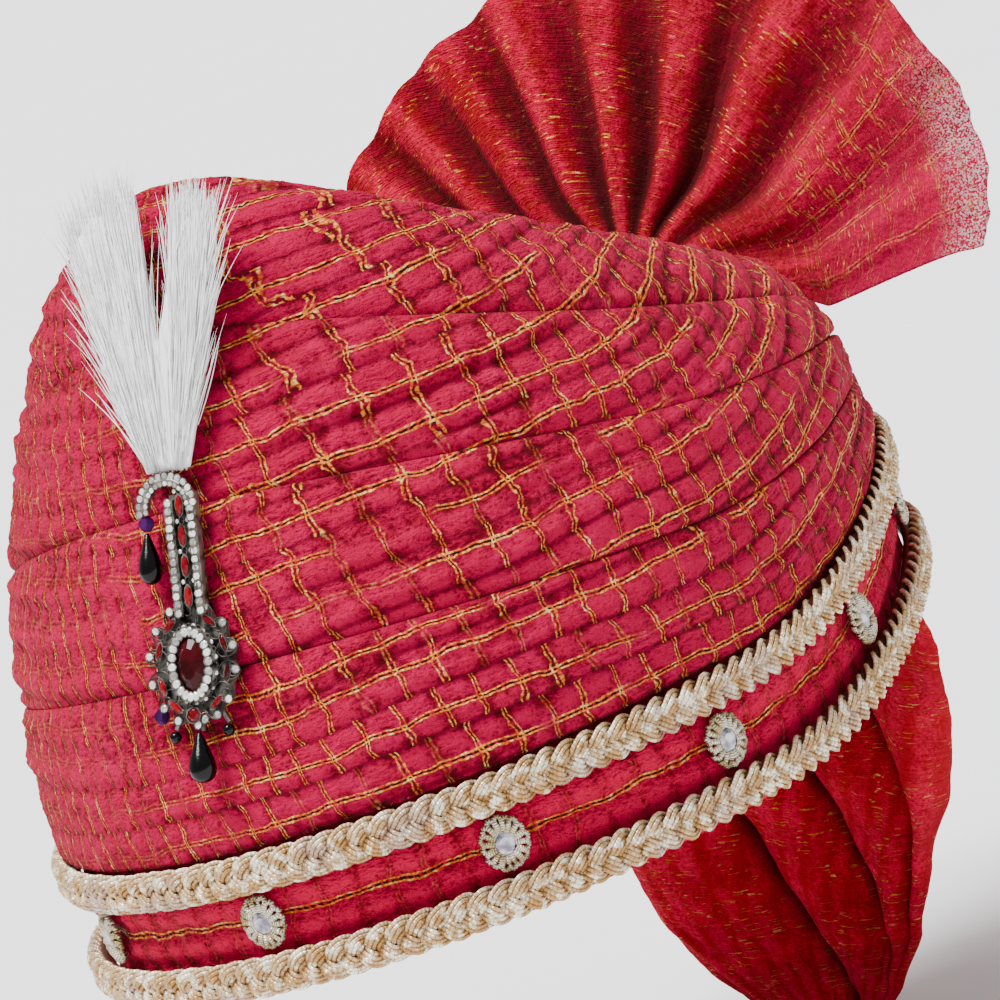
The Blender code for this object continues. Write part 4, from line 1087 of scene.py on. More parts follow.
class TURBAN_OT_tail(bpy.types.Operator):
    """Hangs the loose end of the cloth in rounded folds behind the nape"""
    bl_idname = "turban.tail"
    bl_label = "Tail"

    def execute(self, context):
        cloth = context.scene.turban_cloth
        # The tail's tones are lighter than the crown's cloth to make up for the shade it hangs in: painted
        # light
        finish = crinkled_cloth(
            "folded tail cloth", tone(246, 4, 74), tone(196, 0, 32), tone(110, 0, 8), cloth,
            along=0.0, across=0.06, creases=0.0, flecks=1.0, puffed=0.0
        )
        # Painted shade in the tail's creases
        shade_valleys(finish, tone(26, 0, 1), 0.96, 0.58)
        rows = 100
        table = np.array(TAIL_ROWS)
        drop = np.linspace(0, 1, rows)

        def column(number):
            spot = np.clip(np.searchsorted(table[:, 0], drop, side="right") - 1, 0, len(table) - 2)
            part = (drop - table[spot, 0]) / (table[spot + 1, 0] - table[spot, 0])
            values = table[:, number]
            before = values[np.maximum(spot - 1, 0)]
            after = values[np.minimum(spot + 2, len(table) - 1)]
            slope_in = (values[spot + 1] - before) / 2
            slope_out = (after - values[spot]) / 2
            cubic = part * part * (3 - 2 * part)
            lean = part * (1 - part) * (
                (1 - part) * (slope_in - (values[spot + 1] - values[spot]))
                - part * (slope_out - (values[spot + 1] - values[spot]))
            )
            straight = values[spot] * (1 - part) + values[spot + 1] * part
            return 0.35 * (
                values[spot] * (1 - cubic) + values[spot + 1] * cubic
            ) + 0.65 * straight + 0.5 * lean

        left, right, middle, edge, fold_share = (column(number)[:, None] for number in (1, 2, 3, 4, 5))
        creases = np.array(TAIL_CREASES)
        valleys = np.stack(
            [np.interp(drop, creases[:, 0], creases[:, number]) for number in range(1, creases.shape[1])],
            -1
        )
        for _ in range(6):
            valleys[1:-1] = (valleys[:-2] + 2 * valleys[1:-1] + valleys[2:]) / 4
        folds = valleys.shape[1] - 1
        each = 68
        part = np.append(np.tile(np.linspace(0, 1, each, endpoint=False), folds), 1.0)[None, :]
        number = np.append(np.repeat(np.arange(folds), each), folds - 1)[None, :]
        columns = part.shape[1]
        start = valleys[:, number[0]]
        wide = valleys[:, number[0] + 1] - start
        share = start + wide * part
        bulge = np.sin(pi * part) ** 0.62
        lit = np.where(((number == 0) & (part < 0.5)) | ((number == folds - 1) & (part > 0.5)), 0.9, bulge)
        lit = np.broadcast_to(lit, (rows, columns))
        narrow = np.clip(wide * (right - left) * BAND_HALF_WIDTH / 0.011, 0.0, 1.0)
        fold = 0.5 + (bulge - 0.5) * narrow
        half_width = (BAND_HALF_WIDTH - BAND_WALL / 2) * sin(TAIL_HALF_SPREAD)
        x = half_width * (left + (right - left) * share)
        from_middle = 2 * share - 1
        depth = middle - (middle - edge) * from_middle * from_middle
        rumple = soft_random(share * 9 + number * 3, drop[:, None] * 7 + number, 91)
        rumple += 0.6 * soft_random(share * 22, drop[:, None] * 15 + 9, 93)
        wrinkle = soft_random(share * 24 - drop[:, None] * 13, drop[:, None] * 11, 95)
        crinkle = soft_random(
            share * 120, drop[:, None] * 100, 97
        ) + 0.7 * soft_random(share * 230, drop[:, None] * 200, 99)
        relief = 0.0008 * rumple + 0.0010 * wrinkle + 0.00022 * crinkle
        strength = np.clip(fold_share * 1.45, 0.6, 1.5)
        y = HEAD_HALF_DEPTH * depth - TAIL_FOLD_HEIGHT * strength * (fold - 0.5) * 1.15 - relief * ease(
            0.0, 0.08, drop[:, None]
        )
        z = rim_rise(pi + from_middle * TAIL_HALF_SPREAD) - GAP - TAIL_LENGTH * drop[:, None]
        z = z + 0.0 * y
        points = np.stack([x + 0 * y, y, z], -1)
        width = (right - left) * half_width * 1000
        u = np.broadcast_to(drop[:, None] * TAIL_LENGTH / CHECK, (rows, columns))
        v = share * 13 + 0 * drop[:, None] + 40
        weave = np.stack([u, v], -1)
        span = np.broadcast_to(width / 13 * 1.5, (rows, columns))
        mesh = grid_mesh("tail_cloth", points, weave, span, 1.0, False, False)
        # crest and depth set the painted valley shade, which fades out towards the top edge
        point_values(
            mesh, crest=lit, depth=np.broadcast_to(ease(0.0, 0.3, drop)[:, None], (rows, columns)),
            glow=np.zeros((rows, columns))
        )
        piece = show_mesh("tail_cloth", mesh, finish)
        apply_modifier(piece, "SOLIDIFY", thickness=cloth.sheet_thickness * 1.3, offset=0.0)
        outward(piece.data)
        dress(piece, "tail_cloth", "tail")
        return {"FINISHED"}


# Plaited cord and flowers


def plaited_cord(settings):
    """Metallic cord: cream and gold strands with grey-lilac tint and a fine twist, painted highlights in
    pale patches and painted shade in the twist grooves and on the dark core.
    """
    made = Finish("plaited metallic cord")
    tint = made.attribute("tint")
    along = made.attribute("along")
    twist = made.fraction(made.sum("MULTIPLY_ADD", tint, 3.0, made.times(along, 1150)))
    twist = made.from_half(twist)
    grain = made.noise(1500, 2)
    broad = made.noise(70, 2)
    patch = made.noise(420, 2)
    colour = made.mix(made.range(made.plus(made.times(tint, 0.35), made.times(patch, 0.8)), 0.35, 0.75),
                      tone(176, 130, 70), (*settings.cord_colour, 1))
    # Pale patches: painted highlight
    colour = made.mix(made.range(patch, 0.52, 0.62), colour, tone(255, 244, 220))
    colour = made.mix(made.times(made.range(broad, 0.50, 0.68), 0.5), colour, tone(186, 166, 160))
    # Darker in the twist grooves: painted shade
    colour = made.mix(
        made.range(made.plus(twist, made.times(grain, 0.25)), 0.24, 0.08), colour, tone(96, 62, 36)
    )
    # The core in dark brown: painted shade in the gaps between the strands
    colour = made.mix(made.range(tint, -0.2, -0.6), colour, tone(84, 46, 26))
    made.set(Base_Color=colour, Metallic=0.35)
    made.set(Roughness=made.range(grain, 0.3, 0.7, 0.28, 0.50, smooth=False))
    made.bump(twist, 0.7, 0.0003)
    return made.material


def braid_piece(name, node, height, settings, finish):
    """A plait of three strands, each of four cords laid side by side, over a dark core that stands in for
    the shade in the gaps between the strands.
    """
    ring = np.linspace(-pi, pi, 1801)
    lengths = lengths_along(band_face(ring, 0.0, height))
    total = lengths[-1]
    periods = int(round(total / (3 * settings.plait_pitch)))
    stations = 20 * periods
    along = total * np.arange(stations + 1) / stations
    swing = BRAID_HEIGHT / 2 * 0.60
    weave_depth = 0.00130
    middle = GAP + BRAID_DEPTH * 0.66
    cord_gap = settings.strand_radius * 1.60
    paths = []
    tints = []
    for strand in range(3):
        turn = 2 * pi * along / total * periods + 2 * pi * strand / 3
        rise = swing * np.sin(turn)
        slope = swing * np.cos(turn) * 2 * pi * periods / total
        length = np.sqrt(1 + slope * slope)
        uneven = 0.00018 * soft_random(along * 420, along * 0 + strand, 61)
        for cord in (-1.5, -0.5, 0.5, 1.5):
            offset = cord * cord_gap
            rise_here = rise + offset / length + uneven
            along_here = along - offset * slope / length
            out = middle + weave_depth * np.sin(2 * turn) - 0.00022 * cord * cord + 0.00012 * soft_random(
                along * 700, along * 0 + cord, 63
            )
            angle = np.interp(np.mod(along_here, total), lengths, ring)
            paths.append(band_face(angle, out, height + rise_here))
            tints.append(0.5 + 0.12 * (strand - 1) + 0.16 * cord)
    cords = tube_mesh(name, np.array(paths), settings.strand_radius, 5, tints, caps=False)
    # Dark core behind the cords: painted shade in the gaps between the strands
    core_steps = 220
    core_ring = np.linspace(-pi, pi, core_steps, endpoint=False)
    corners = 10
    sections = []
    for corner in range(corners):
        turn = 2 * pi * corner / corners
        out = GAP + BRAID_DEPTH * (0.36 + 0.34 * cos(turn))
        sections.append(band_face(core_ring, out, height + BRAID_HEIGHT / 2 * 0.74 * sin(turn)))
    core = grid_mesh(
        name + "_core", np.array(sections), np.zeros((corners + 1, core_steps + 1, 2)), 1.0, 1.0, True,
        True
    )
    point_values(core, tint=np.full(corners * core_steps, -1.0), along=np.zeros(corners * core_steps))
    joined = bmesh.new()
    joined.from_mesh(cords)
    joined.from_mesh(core)
    bmesh.ops.remove_doubles(joined, verts=joined.verts, dist=0.000001)
    joined.to_mesh(cords)
    joined.free()
    bpy.data.meshes.remove(core)
    outward(cords)
    piece = show_mesh(name, cords, finish)
    dress(piece, "gold_braid", node)
    return piece


class TURBAN_OT_braids(bpy.types.Operator):
    """Plaits the two gold braids round the band"""
    bl_idname = "turban.braids"
    bl_label = "Braids"

    def execute(self, context):
        trim = context.scene.turban_trim
        finish = plaited_cord(trim)
        braid_piece("plait_lower", "braid_lower", LOWER_BRAID_Z, trim, finish)
        braid_piece("plait_upper", "braid_upper", UPPER_BRAID_Z, trim, finish)
        return {"FINISHED"}


def flower_places():
    """Matrix of each flower: X along the band, Y up it, Z outwards."""
    ring = FLOWER_FIRST + 2 * pi * np.arange(3601) / 3600
    walk = lengths_along(band_face(ring, 0.0, 0.0)[:, :2])
    height = (LOWER_BRAID_Z + UPPER_BRAID_Z) / 2
    sag = FLOWER_HALF_WIDTH**2 / (2 * BAND_HALF_WIDTH)
    places = []
    for number in range(FLOWER_COUNT):
        step = int(np.argmin(np.abs(walk - walk[-1] * number / FLOWER_COUNT)))
        angle = ring[step]
        along = Vector(band_face(angle + 0.02, 0.0, 0.0) - band_face(angle - 0.02, 0.0, 0.0)).normalized()
        out = Vector((sin(angle) / BAND_HALF_WIDTH, -cos(angle) / BAND_HALF_DEPTH, 0)).normalized()
        up = out.cross(along).normalized()
        seat = Vector(band_face(angle, 0.0008 + GAP + sag, height))
        places.append(Matrix.Translation(seat) @ Matrix((along, up, out)).transposed().to_4x4())
    return places


def wound_wire(name, dull, bright):
    """Bright wound wire whose turns show as fine grooves, darkened with painted shade."""
    made = Finish(name)
    along = made.attribute("along")
    turn = made.size(made.minus(made.fraction(made.times(along, 1900)), 0.5))
    grain = made.noise(1300, 2)
    colour = made.mix(made.range(made.noise(260, 1), 0.38, 0.62), dull, bright)
    # Painted shade in the grooves between the turns
    colour = made.mix(made.range(turn, 0.20, 0.06), colour, tone(86, 74, 52))
    made.set(Base_Color=colour, Metallic=0.55)
    made.set(Roughness=made.range(grain, 0.3, 0.7, 0.22, 0.45, smooth=False))
    made.bump(turn, 0.8, 0.0003)
    return made.material


class TURBAN_OT_flowers(bpy.types.Operator):
    """Winds the flowers between the braids, each round its small mirror"""
    bl_idname = "turban.flowers"
    bl_label = "Mirror flowers"

    def execute(self, context):
        trim = context.scene.turban_trim
        wire = wound_wire("wound flower wire", tone(190, 168, 122), tone(236, 226, 204))
        glass = Finish("small mirror")
        cloudy = glass.noise(420, 3)
        glass.set(
            Base_Color=glass.mix(glass.range(cloudy, 0.35, 0.65), tone(112, 106, 118), tone(196, 192, 202)),
            Metallic=0.85
        )
        glass.set(Roughness=glass.range(cloudy, 0.3, 0.7, 0.12, 0.38, smooth=False))
        glass.bump(cloudy, 0.35, 0.0003)
        rng = np.random.default_rng(11)
        petals = trim.petals
        steps = 11
        swing = np.linspace(0.0, 1.0, steps)
        for number, place in enumerate(flower_places(), 1):
            paths = []
            for petal in range(petals):
                turn = 2 * pi * (petal + rng.uniform(-0.12, 0.12)) / petals
                reach = rng.uniform(0.90, 1.0)
                spread = 0.62 * 2 * pi / petals
                loop = turn + spread * np.cos(pi * swing) * np.clip(np.sin(pi * swing) + 0.45, 0, 1)
                stretch = 0.44 + (0.53 * reach) * np.sin(pi * swing) ** 0.6
                x = FLOWER_HALF_WIDTH * 0.97 * stretch * np.cos(loop)
                y = FLOWER_HALF_HEIGHT * 1.0 * stretch * np.sin(loop)
                z = 0.0006 + FLOWER_DEPTH * (
                    0.25 + 0.42 * np.sin(pi * np.clip(stretch, 0, 1) ** 1.3)
                ) + rng.uniform(-0.00015, 0.00015)
                paths.append(placed(place, x, y, z))
            mesh = tube_mesh(f"petals_{number:02d}", np.array(paths), 0.00062, 6)
            ring_turn = np.linspace(0, 2 * pi, 29)
            beads = []
            for scale, lift in ((0.50, 0.62), (0.50, 0.36)):
                x = FLOWER_HALF_WIDTH * scale * np.cos(ring_turn)
                y = FLOWER_HALF_HEIGHT * scale * np.sin(ring_turn)
                beads.append(placed(place, x, y, FLOWER_DEPTH * lift + 0.0004))
            ring = tube_mesh("ring", np.array(beads), 0.00042, 6)
            both = bmesh.new()
            both.from_mesh(mesh)
            both.from_mesh(ring)
            both.to_mesh(mesh)
            both.free()
            bpy.data.meshes.remove(ring)
            outward(mesh)
            piece = show_mesh(f"petals_{number:02d}", mesh, wire)
            dress(piece, "silver_gold_wire", f"flower_{number:02d}")

            select_none()
            bpy.ops.mesh.primitive_cylinder_add(vertices=16, radius=1.0, depth=1.0)
            disc = bpy.context.object
            inset_top(disc, (0.22, 0.16), (0.30, 0.12))
            size = Matrix.Diagonal((FLOWER_HALF_WIDTH * 0.46, FLOWER_HALF_HEIGHT * 0.46, 0.0012, 1))
            disc.data.transform(place @ Matrix.Translation((0, 0, 0.35 * FLOWER_DEPTH + 0.0008)) @ size)
            disc.name = f"mirror_glass_{number:02d}"
            disc.data.name = disc.name
            disc.data.materials.append(glass.material)
            dress(disc, "mirror", f"mirror_{number:02d}")
        return {"FINISHED"}


# Brooch and plume


PLATE_SCALLOPS = 14
OUTER_RING_STONES = 30
RED_RING_STONES = 10
DOWN_COLUMNS = 57
DOWN_ROWS = 20
HOOK_OVERRUN = 0.04
PURPLE_BEAD = 0.0034
JET_BEAD = 0.0026
SIDE_DROP_LENGTH = 0.0110
SIDE_DROP_RADIUS = 0.0026
END_DROP_LENGTH = 0.0108
END_DROP_RADIUS = 0.0030
WRAP_RIB = 0.0014
# Outline of a drop from its top down: share of its radius, then share of its length
DROP_OUTLINE = (
    (0.0, 0.0),
    (0.14, 0.0),
    (0.30, 0.10),
    (0.46, 0.22),
    (0.66, 0.36),
    (0.88, 0.52),
    (1.0, 0.68),
    (0.94, 0.82),
    (0.72, 0.92),
    (0.40, 0.98),
    (0.0, 1.0),
)
# Plume locks: tip across and up, as shares of the plume's length
PLUME_LOCKS = (
    (-0.350, 0.88),
    (-0.300, 0.94),
    (-0.245, 0.98),
    (-0.190, 1.00),
    (-0.130, 1.00),
    (-0.085, 0.98),
    (0.075, 0.93),
    (0.130, 0.92),
    (0.185, 0.91),
    (0.235, 0.88),
)


def brooch_place():
    """Matrix of the brooch: X to the wearer's left, Y up its stem, Z outwards, seated on the folds."""
    low = Vector(crown_point(BROOCH_ANGLE, BROOCH_SHARE - 0.17))
    high = Vector(crown_point(BROOCH_ANGLE, BROOCH_SHARE + 0.27))
    up = (high - low).normalized()
    side = Vector(
        crown_face(BROOCH_ANGLE + 0.05, BROOCH_SHARE) - crown_face(BROOCH_ANGLE - 0.05, BROOCH_SHARE)
    )
    out = side.cross(up).normalized()
    side = up.cross(out).normalized()
    turn = Matrix.Rotation(-BROOCH_LEAN, 3, out)
    up = turn @ up
    side = turn @ side
    centre = Vector(crown_point(BROOCH_ANGLE, BROOCH_SHARE))
    proud = 0.0
    for station in range(-3, 4):
        for step in range(-10, 16):
            angle = BROOCH_ANGLE + station * 0.03
            point = Vector(crown_point(angle, BROOCH_SHARE + step * 0.02, WRAP_RIB))
            proud = max(proud, (point - centre).dot(out))
    frame_turn = Matrix((side, up, out)).transposed().to_4x4()
    return Matrix.Translation(centre + out * (proud + GAP)) @ frame_turn


def hook_path():
    """Centres of the right rail, over the top and down to the hook's end."""
    depth = PLATE_THICKNESS + RAIL_WIRE * 0.55
    right = STEM_OFFSET + STEM_HALF_WIDTH - RAIL_WIRE
    start = PLATE_HALF_HEIGHT * 0.80
    top = PLATE_HALF_HEIGHT + STEM_LENGTH - HOOK_RADIUS * 0.4
    path = [Vector((right, start + (top - start) * step / 12, depth)) for step in range(12)]
    for step in range(13):
        turn = pi * (1 + HOOK_OVERRUN) * step / 12
        across = right - HOOK_RADIUS + HOOK_RADIUS * cos(turn)
        path.append(Vector((across, top + HOOK_RADIUS * sin(turn) * 0.95, depth)))
    return path


def set_stone():
    """Small cut stone, one unit in radius: a girdle, a crown and a table."""
    select_none()
    bpy.ops.mesh.primitive_cylinder_add(vertices=8, radius=1.0, depth=0.5, location=(0, 0, 0.25))
    stone = bpy.context.object
    inset_top(stone, (0.42, 0.45))
    return mesh_parts(stone)


def claw_cup():
    """Open metal cup that holds a stone, one unit in radius."""
    select_none()
    bpy.ops.mesh.primitive_cone_add(vertices=8, radius1=0.8, radius2=1.22, depth=0.8, location=(0, 0, 0.1))
    cup = bpy.context.object
    inset_top(cup, (0.20, 0.0), (0.02, -0.35))
    return mesh_parts(cup)


def turned_shape(name, place, top, profile, finish, sides=28):
    """Drop or bead spun about the brooch's upright, hanging from its top."""
    select_none()
    points = []
    for radius, below in profile:
        points.append((radius, -below, 0.0))
    mesh = bpy.data.meshes.new(name)
    mesh.from_pydata(points, [(number, number + 1) for number in range(len(points) - 1)], [])
    piece = bpy.data.objects.new(name, mesh)
    bpy.context.scene.collection.objects.link(piece)
    select_only(piece)
    bpy.ops.object.mode_set(mode="EDIT")
    bpy.ops.mesh.select_all(action="SELECT")
    bpy.ops.mesh.spin(steps=sides, angle=2 * pi, center=(0, 0, 0), axis=(0, 1, 0))
    bpy.ops.mesh.select_all(action="SELECT")
    bpy.ops.mesh.remove_doubles(threshold=0.000005)
    bpy.ops.object.mode_set(mode="OBJECT")
    mesh = piece.data
    mesh.transform(place @ Matrix.Translation(top))
    outward(mesh)
    mesh.materials.append(finish)
    mesh.shade_smooth()
    return piece


def drop_profile(length, radius):
    """Smooth pear outline from the drop's neck to its foot."""
    table = np.array(DROP_OUTLINE)
    along = np.linspace(0, len(table) - 1, 34)
    wide = np.interp(along, np.arange(len(table)), table[:, 0])
    below = np.interp(along, np.arange(len(table)), table[:, 1])
    for _ in range(2):
        wide[1:-1] = (wide[:-2] + 2 * wide[1:-1] + wide[2:]) / 4
        below[1:-1] = (below[:-2] + 2 * below[1:-1] + below[2:]) / 4
    return [(radius * w, length * b) for w, b in zip(wide, below)]


def bead_profile(radius):
    """Round outline."""
    return [(radius * sin(pi * step / 16), radius * (1 - cos(pi * step / 16))) for step in range(17)]


def polished(name, colour, rough, cloud, metal=0.0, coat=0.0, shine=0.5):
    """Polished glass, stone or metal with a faint uneven depth."""
    made = Finish(name)
    deep = tuple(value * 0.35 for value in colour[:3]) + (1.0,)
    grain = made.noise(cloud, 2)
    fine = made.noise(cloud * 5, 2)
    made.set(Base_Color=made.mix(made.range(grain, 0.35, 0.65), deep, colour))
    made.set(
        Roughness=made.range(fine, 0.3, 0.7, rough, rough + 0.12, smooth=False), Metallic=metal,
        Coat_Weight=coat, Specular_IOR_Level=shine
    )
    made.bump(fine, 0.12, 0.0002)
    return made.material


def tarnished(name, colour):
    """Antique metal: bright on its edges, dark in its hollows."""
    made = Finish(name)
    worn = made.node("NewGeometry").outputs["Pointiness"]
    grain = made.noise(900, 3)
    blotch = made.noise(380, 2)
    share = made.range(made.plus(made.times(blotch, 0.8), made.times(worn, 0.6)), 0.55, 0.85)
    made.set(Base_Color=made.mix(share, tone(16, 11, 11), colour), Metallic=0.75)
    made.set(Roughness=made.range(grain, 0.3, 0.7, 0.28, 0.5, smooth=False))
    made.bump(grain, 0.4, 0.0003)
    return made.material


def clear_stones(name, low, high, metal, shine):
    """Cut stones whose brightness changes from one to the next: painted reflection standing in for the light
    each stone catches.
    """
    made = Finish(name)
    tint = made.attribute("tint")
    spark = made.noise(1400, 1)
    mixed = made.plus(made.times(tint, 0.7), made.times(spark, 0.5))
    # Painted reflection: darker to brighter by each stone's tint and a fine noise
    made.set(Base_Color=made.mix(made.range(mixed, 0.25, 0.85), low, high), Metallic=metal)
    made.set(Roughness=made.range(spark, 0.3, 0.7, 0.08, 0.22, smooth=False), Specular_IOR_Level=shine)
    made.bump(spark, 0.3, 0.0002)
    return made.material


def recolour(name, finish):
    """Gives a carried-over part of the frame its finish."""
    mesh = bpy.data.objects[name].data
    mesh.materials.clear()
    mesh.materials.append(finish)


class TURBAN_OT_brooch(bpy.types.Operator):
    """Sets the brooch with its stones, filigree, beads and drops"""
    bl_idname = "turban.brooch"
    bl_label = "Brooch"

    def execute(self, context):
        settings = context.scene.turban_brooch
        rng = np.random.default_rng(5)
        place = brooch_place()
        metal = tarnished("antique silver", (*settings.metal_colour, 1))
        clear = clear_stones("clear cut stones", tone(150, 146, 142), tone(255, 255, 252), 0.35, 0.5)
        red = clear_stones("red cut stones", tone(50, 0, 6), tone(142, 0, 18), 0.1, 0.25)
        dark = polished("black enamel", tone(10, 5, 6), 0.15, 600, shine=0.3)
        stone = set_stone()
        cup = claw_cup()
        size = settings.stone_radius
        clear_places = []
        red_places = []
        dark_places = []
        cup_places = []

        def set_at(x, y, z, wide, tall, turn, places, deep=0.8):
            spot = Matrix.Translation((x, y, z)) @ Matrix.Rotation(turn, 4, "Z")
            places.append(place @ spot @ Matrix.Diagonal((wide, tall, deep * min(wide, tall), 1)))
            cup_places.append(place @ spot @ Matrix.Diagonal((wide, tall, min(wide, tall), 1)))

        face = PLATE_THICKNESS + 0.0004
        wide = GARNET_HALF_WIDTH + 0.0002 + size * 1.05
        tall = GARNET_HALF_HEIGHT + 0.0002 + size * 1.05
        for number in range(settings.ring_stones):
            turn = 2 * pi * (number + rng.uniform(-0.06, 0.06)) / settings.ring_stones
            set_at(
                wide * cos(turn), tall * sin(turn), face + 0.0012, size * 1.16,
                size * rng.uniform(0.98, 1.12), turn, clear_places
            )
        for number in range(OUTER_RING_STONES):
            turn = 2 * pi * (number + 0.5) / OUTER_RING_STONES
            x = (wide + size * 1.5) * cos(turn)
            y = (tall + size * 1.45) * sin(turn)
            places = dark_places if number % 2 else clear_places
            set_at(x, y, face + 0.0004, size * 0.62, size * 0.62, turn, places)
        for number in range(RED_RING_STONES):
            turn = 2 * pi * (number + 0.5) / RED_RING_STONES + rng.uniform(-0.05, 0.05)
            if abs(turn - pi / 2) < 0.2:
                continue
            x = PLATE_HALF_WIDTH * 0.80 * cos(turn)
            y = PLATE_HALF_HEIGHT * 0.83 * sin(turn)
            lie = atan2(PLATE_HALF_HEIGHT * cos(turn), -PLATE_HALF_WIDTH * sin(turn)) - pi / 2
            set_at(x, y, face + 0.0002, 0.00072, 0.0019, lie, red_places, 1.2)
        for number in range(PLATE_SCALLOPS):
            turn = 2 * pi * (number + 0.5) / PLATE_SCALLOPS + rng.uniform(-0.04, 0.04)
            if abs(turn - pi / 2) < 0.4:
                continue
            set_at(PLATE_HALF_WIDTH * cos(turn), PLATE_HALF_HEIGHT * sin(turn), face + 0.0004,
                   size * rng.uniform(0.85, 1.1), size * rng.uniform(0.85, 1.05), turn, clear_places)
        set_at(-0.0006, -PLATE_HALF_HEIGHT * 0.84, face + 0.0006, 0.00165, 0.00155, 0.1, red_places)
        set_at(0.0019, -PLATE_HALF_HEIGHT * 0.93, face + 0.0006, size, size, 0.1, clear_places)

        hook = hook_path()
        left = STEM_OFFSET - STEM_HALF_WIDTH + RAIL_WIRE
        start = PLATE_HALF_HEIGHT * 0.86
        top = hook[12].y
        height = hook[0].z + RAIL_WIRE * 0.45
        run = size * 2.05
        for x, end in ((left, top + 0.0018), (hook[0].x, top)):
            y = start
            while y < end:
                set_at(
                    x + rng.uniform(-0.0001, 0.0001), y, height, size * rng.uniform(0.92, 1.08), size,
                    0.0, clear_places
                )
                y += run
        arc = hook[12:]
        lengths = np.concatenate([[0.0], np.cumsum([(b - a).length for a, b in zip(arc, arc[1:])])])
        for shift, scale in ((0.00082, 0.92), (-0.00072, 0.70)):
            count = int(lengths[-1] * (1 + shift / HOOK_RADIUS) / (size * 2.05 * scale))
            for number in range(count + 1):
                spot = lengths[-1] * number / count
                x = np.interp(spot, lengths, [point.x for point in arc])
                y = np.interp(spot, lengths, [point.y for point in arc])
                turn = pi * (1 + HOOK_OVERRUN) * spot / lengths[-1]
                set_at(
                    x + shift * cos(turn), y + shift * sin(turn), height, size * scale, size * scale,
                    turn, clear_places
                )
        middle = (left + hook[0].x) / 2
        for number, y in enumerate(np.linspace(PLATE_HALF_HEIGHT * 1.12, top + 0.0030, 8)):
            if number % 2:
                set_at(middle, y, height - 0.0006, 0.00062, 0.00078, 0.0, dark_places)
                set_at(middle + 0.0013, y, height - 0.0007, 0.00045, 0.0005, 0.0, clear_places)
                set_at(middle - 0.0013, y, height - 0.0007, 0.00045, 0.0005, 0.0, clear_places)
            else:
                set_at(middle, y, height - 0.0004, 0.00092, 0.0022, 0.0, red_places, 1.3)

        marquise = (stone[0] * np.array([1, 1, 1]), stone[1])
        marquise[0][:, 0] *= 1 - 0.45 * np.abs(marquise[0][:, 1]) ** 2
        for name, shape, spots, finish in (
            ("clear_stones", stone, clear_places, clear),
            ("red_stones", marquise, red_places, red),
            ("dark_stones", stone, dark_places, dark),
            ("stone_cups", cup, cup_places, metal),
        ):
            mesh = copies_mesh(name, shape[0], shape[1], spots, rng.uniform(0, 1, len(spots)))
            outward(mesh)
            piece = show_mesh(name, mesh, finish, smooth=False)
            dress(piece, "filigree")
        self.filigree(place, face, tarnished("blackened silver", tone(70, 66, 62)))

        recolour("brooch_frame", metal)
        recolour("garnet", polished("deep garnet", (*settings.garnet_colour, 1), 0.16, 240, shine=0.16))
        purple = polished("purple glass", tone(62, 8, 78), 0.14, 500, shine=0.3)
        recolour("purple_bead_upper", purple)
        recolour("purple_bead_lower", purple)

        jet = polished("black glass", tone(4, 2, 4), 0.12, 420, shine=0.22)
        hook_end = hook[-1]
        purple_top = hook_end - Vector((0, RAIL_WIRE * sin(pi * HOOK_OVERRUN) + GAP, 0))
        half = PURPLE_BEAD / 2
        bead_centre = purple_top - Vector((0, half, half * 0.8))
        drop_top = bead_centre + Vector((0, -half - GAP, half * 0.8))
        end_top = -PLATE_HALF_HEIGHT - JET_BEAD / 2
        bead_across = PLATE_HALF_WIDTH * 0.62
        bead_top = (-PLATE_HALF_HEIGHT * 1.02 - GAP, PLATE_THICKNESS / 2 + JET_BEAD / 4)
        bead = bead_profile(JET_BEAD / 2)
        pieces = (
            ("side_drop", "jet_drop_upper", drop_top, drop_profile(SIDE_DROP_LENGTH, SIDE_DROP_RADIUS)),
            (
                "end_drop", "jet_drop_lower", Vector((0, end_top - GAP, END_DROP_RADIUS * 0.85)),
                drop_profile(END_DROP_LENGTH, END_DROP_RADIUS)
            ),
            ("round_bead_left", "jet_bead_left", Vector((-bead_across, *bead_top)), bead),
            ("round_bead_right", "jet_bead_right", Vector((bead_across, *bead_top)), bead),
        )
        for name, node, top_place, profile in pieces:
            dress(turned_shape(name, place, top_place, profile, jet), "jet", node)
        return {"FINISHED"}

    def filigree(self, place, face, metal):
        """Open loops of wire between the ring and the plate's edge."""
        steps = 17
        swing = np.linspace(0, 2 * pi, steps)
        paths = []
        for number in range(PLATE_SCALLOPS):
            turn = 2 * pi * (number + 0.5) / PLATE_SCALLOPS
            for scale, wide, tall in ((0.84, 0.0019, 0.0026), (0.92, 0.0011, 0.0015)):
                x = PLATE_HALF_WIDTH * scale
                y = PLATE_HALF_HEIGHT * scale
                loop_x = tall * np.cos(swing)
                loop_y = wide * np.sin(swing)
                across = x * cos(turn) + loop_x * cos(turn) - loop_y * sin(turn)
                up = y * sin(turn) + loop_x * sin(turn) + loop_y * cos(turn)
                paths.append(placed(place, across, up, face + 0.0004))
        mesh = tube_mesh("filigree_loops", np.array(paths), 0.00020, 6)
        outward(mesh)
        dress(show_mesh("filigree_loops", mesh, metal), "filigree")


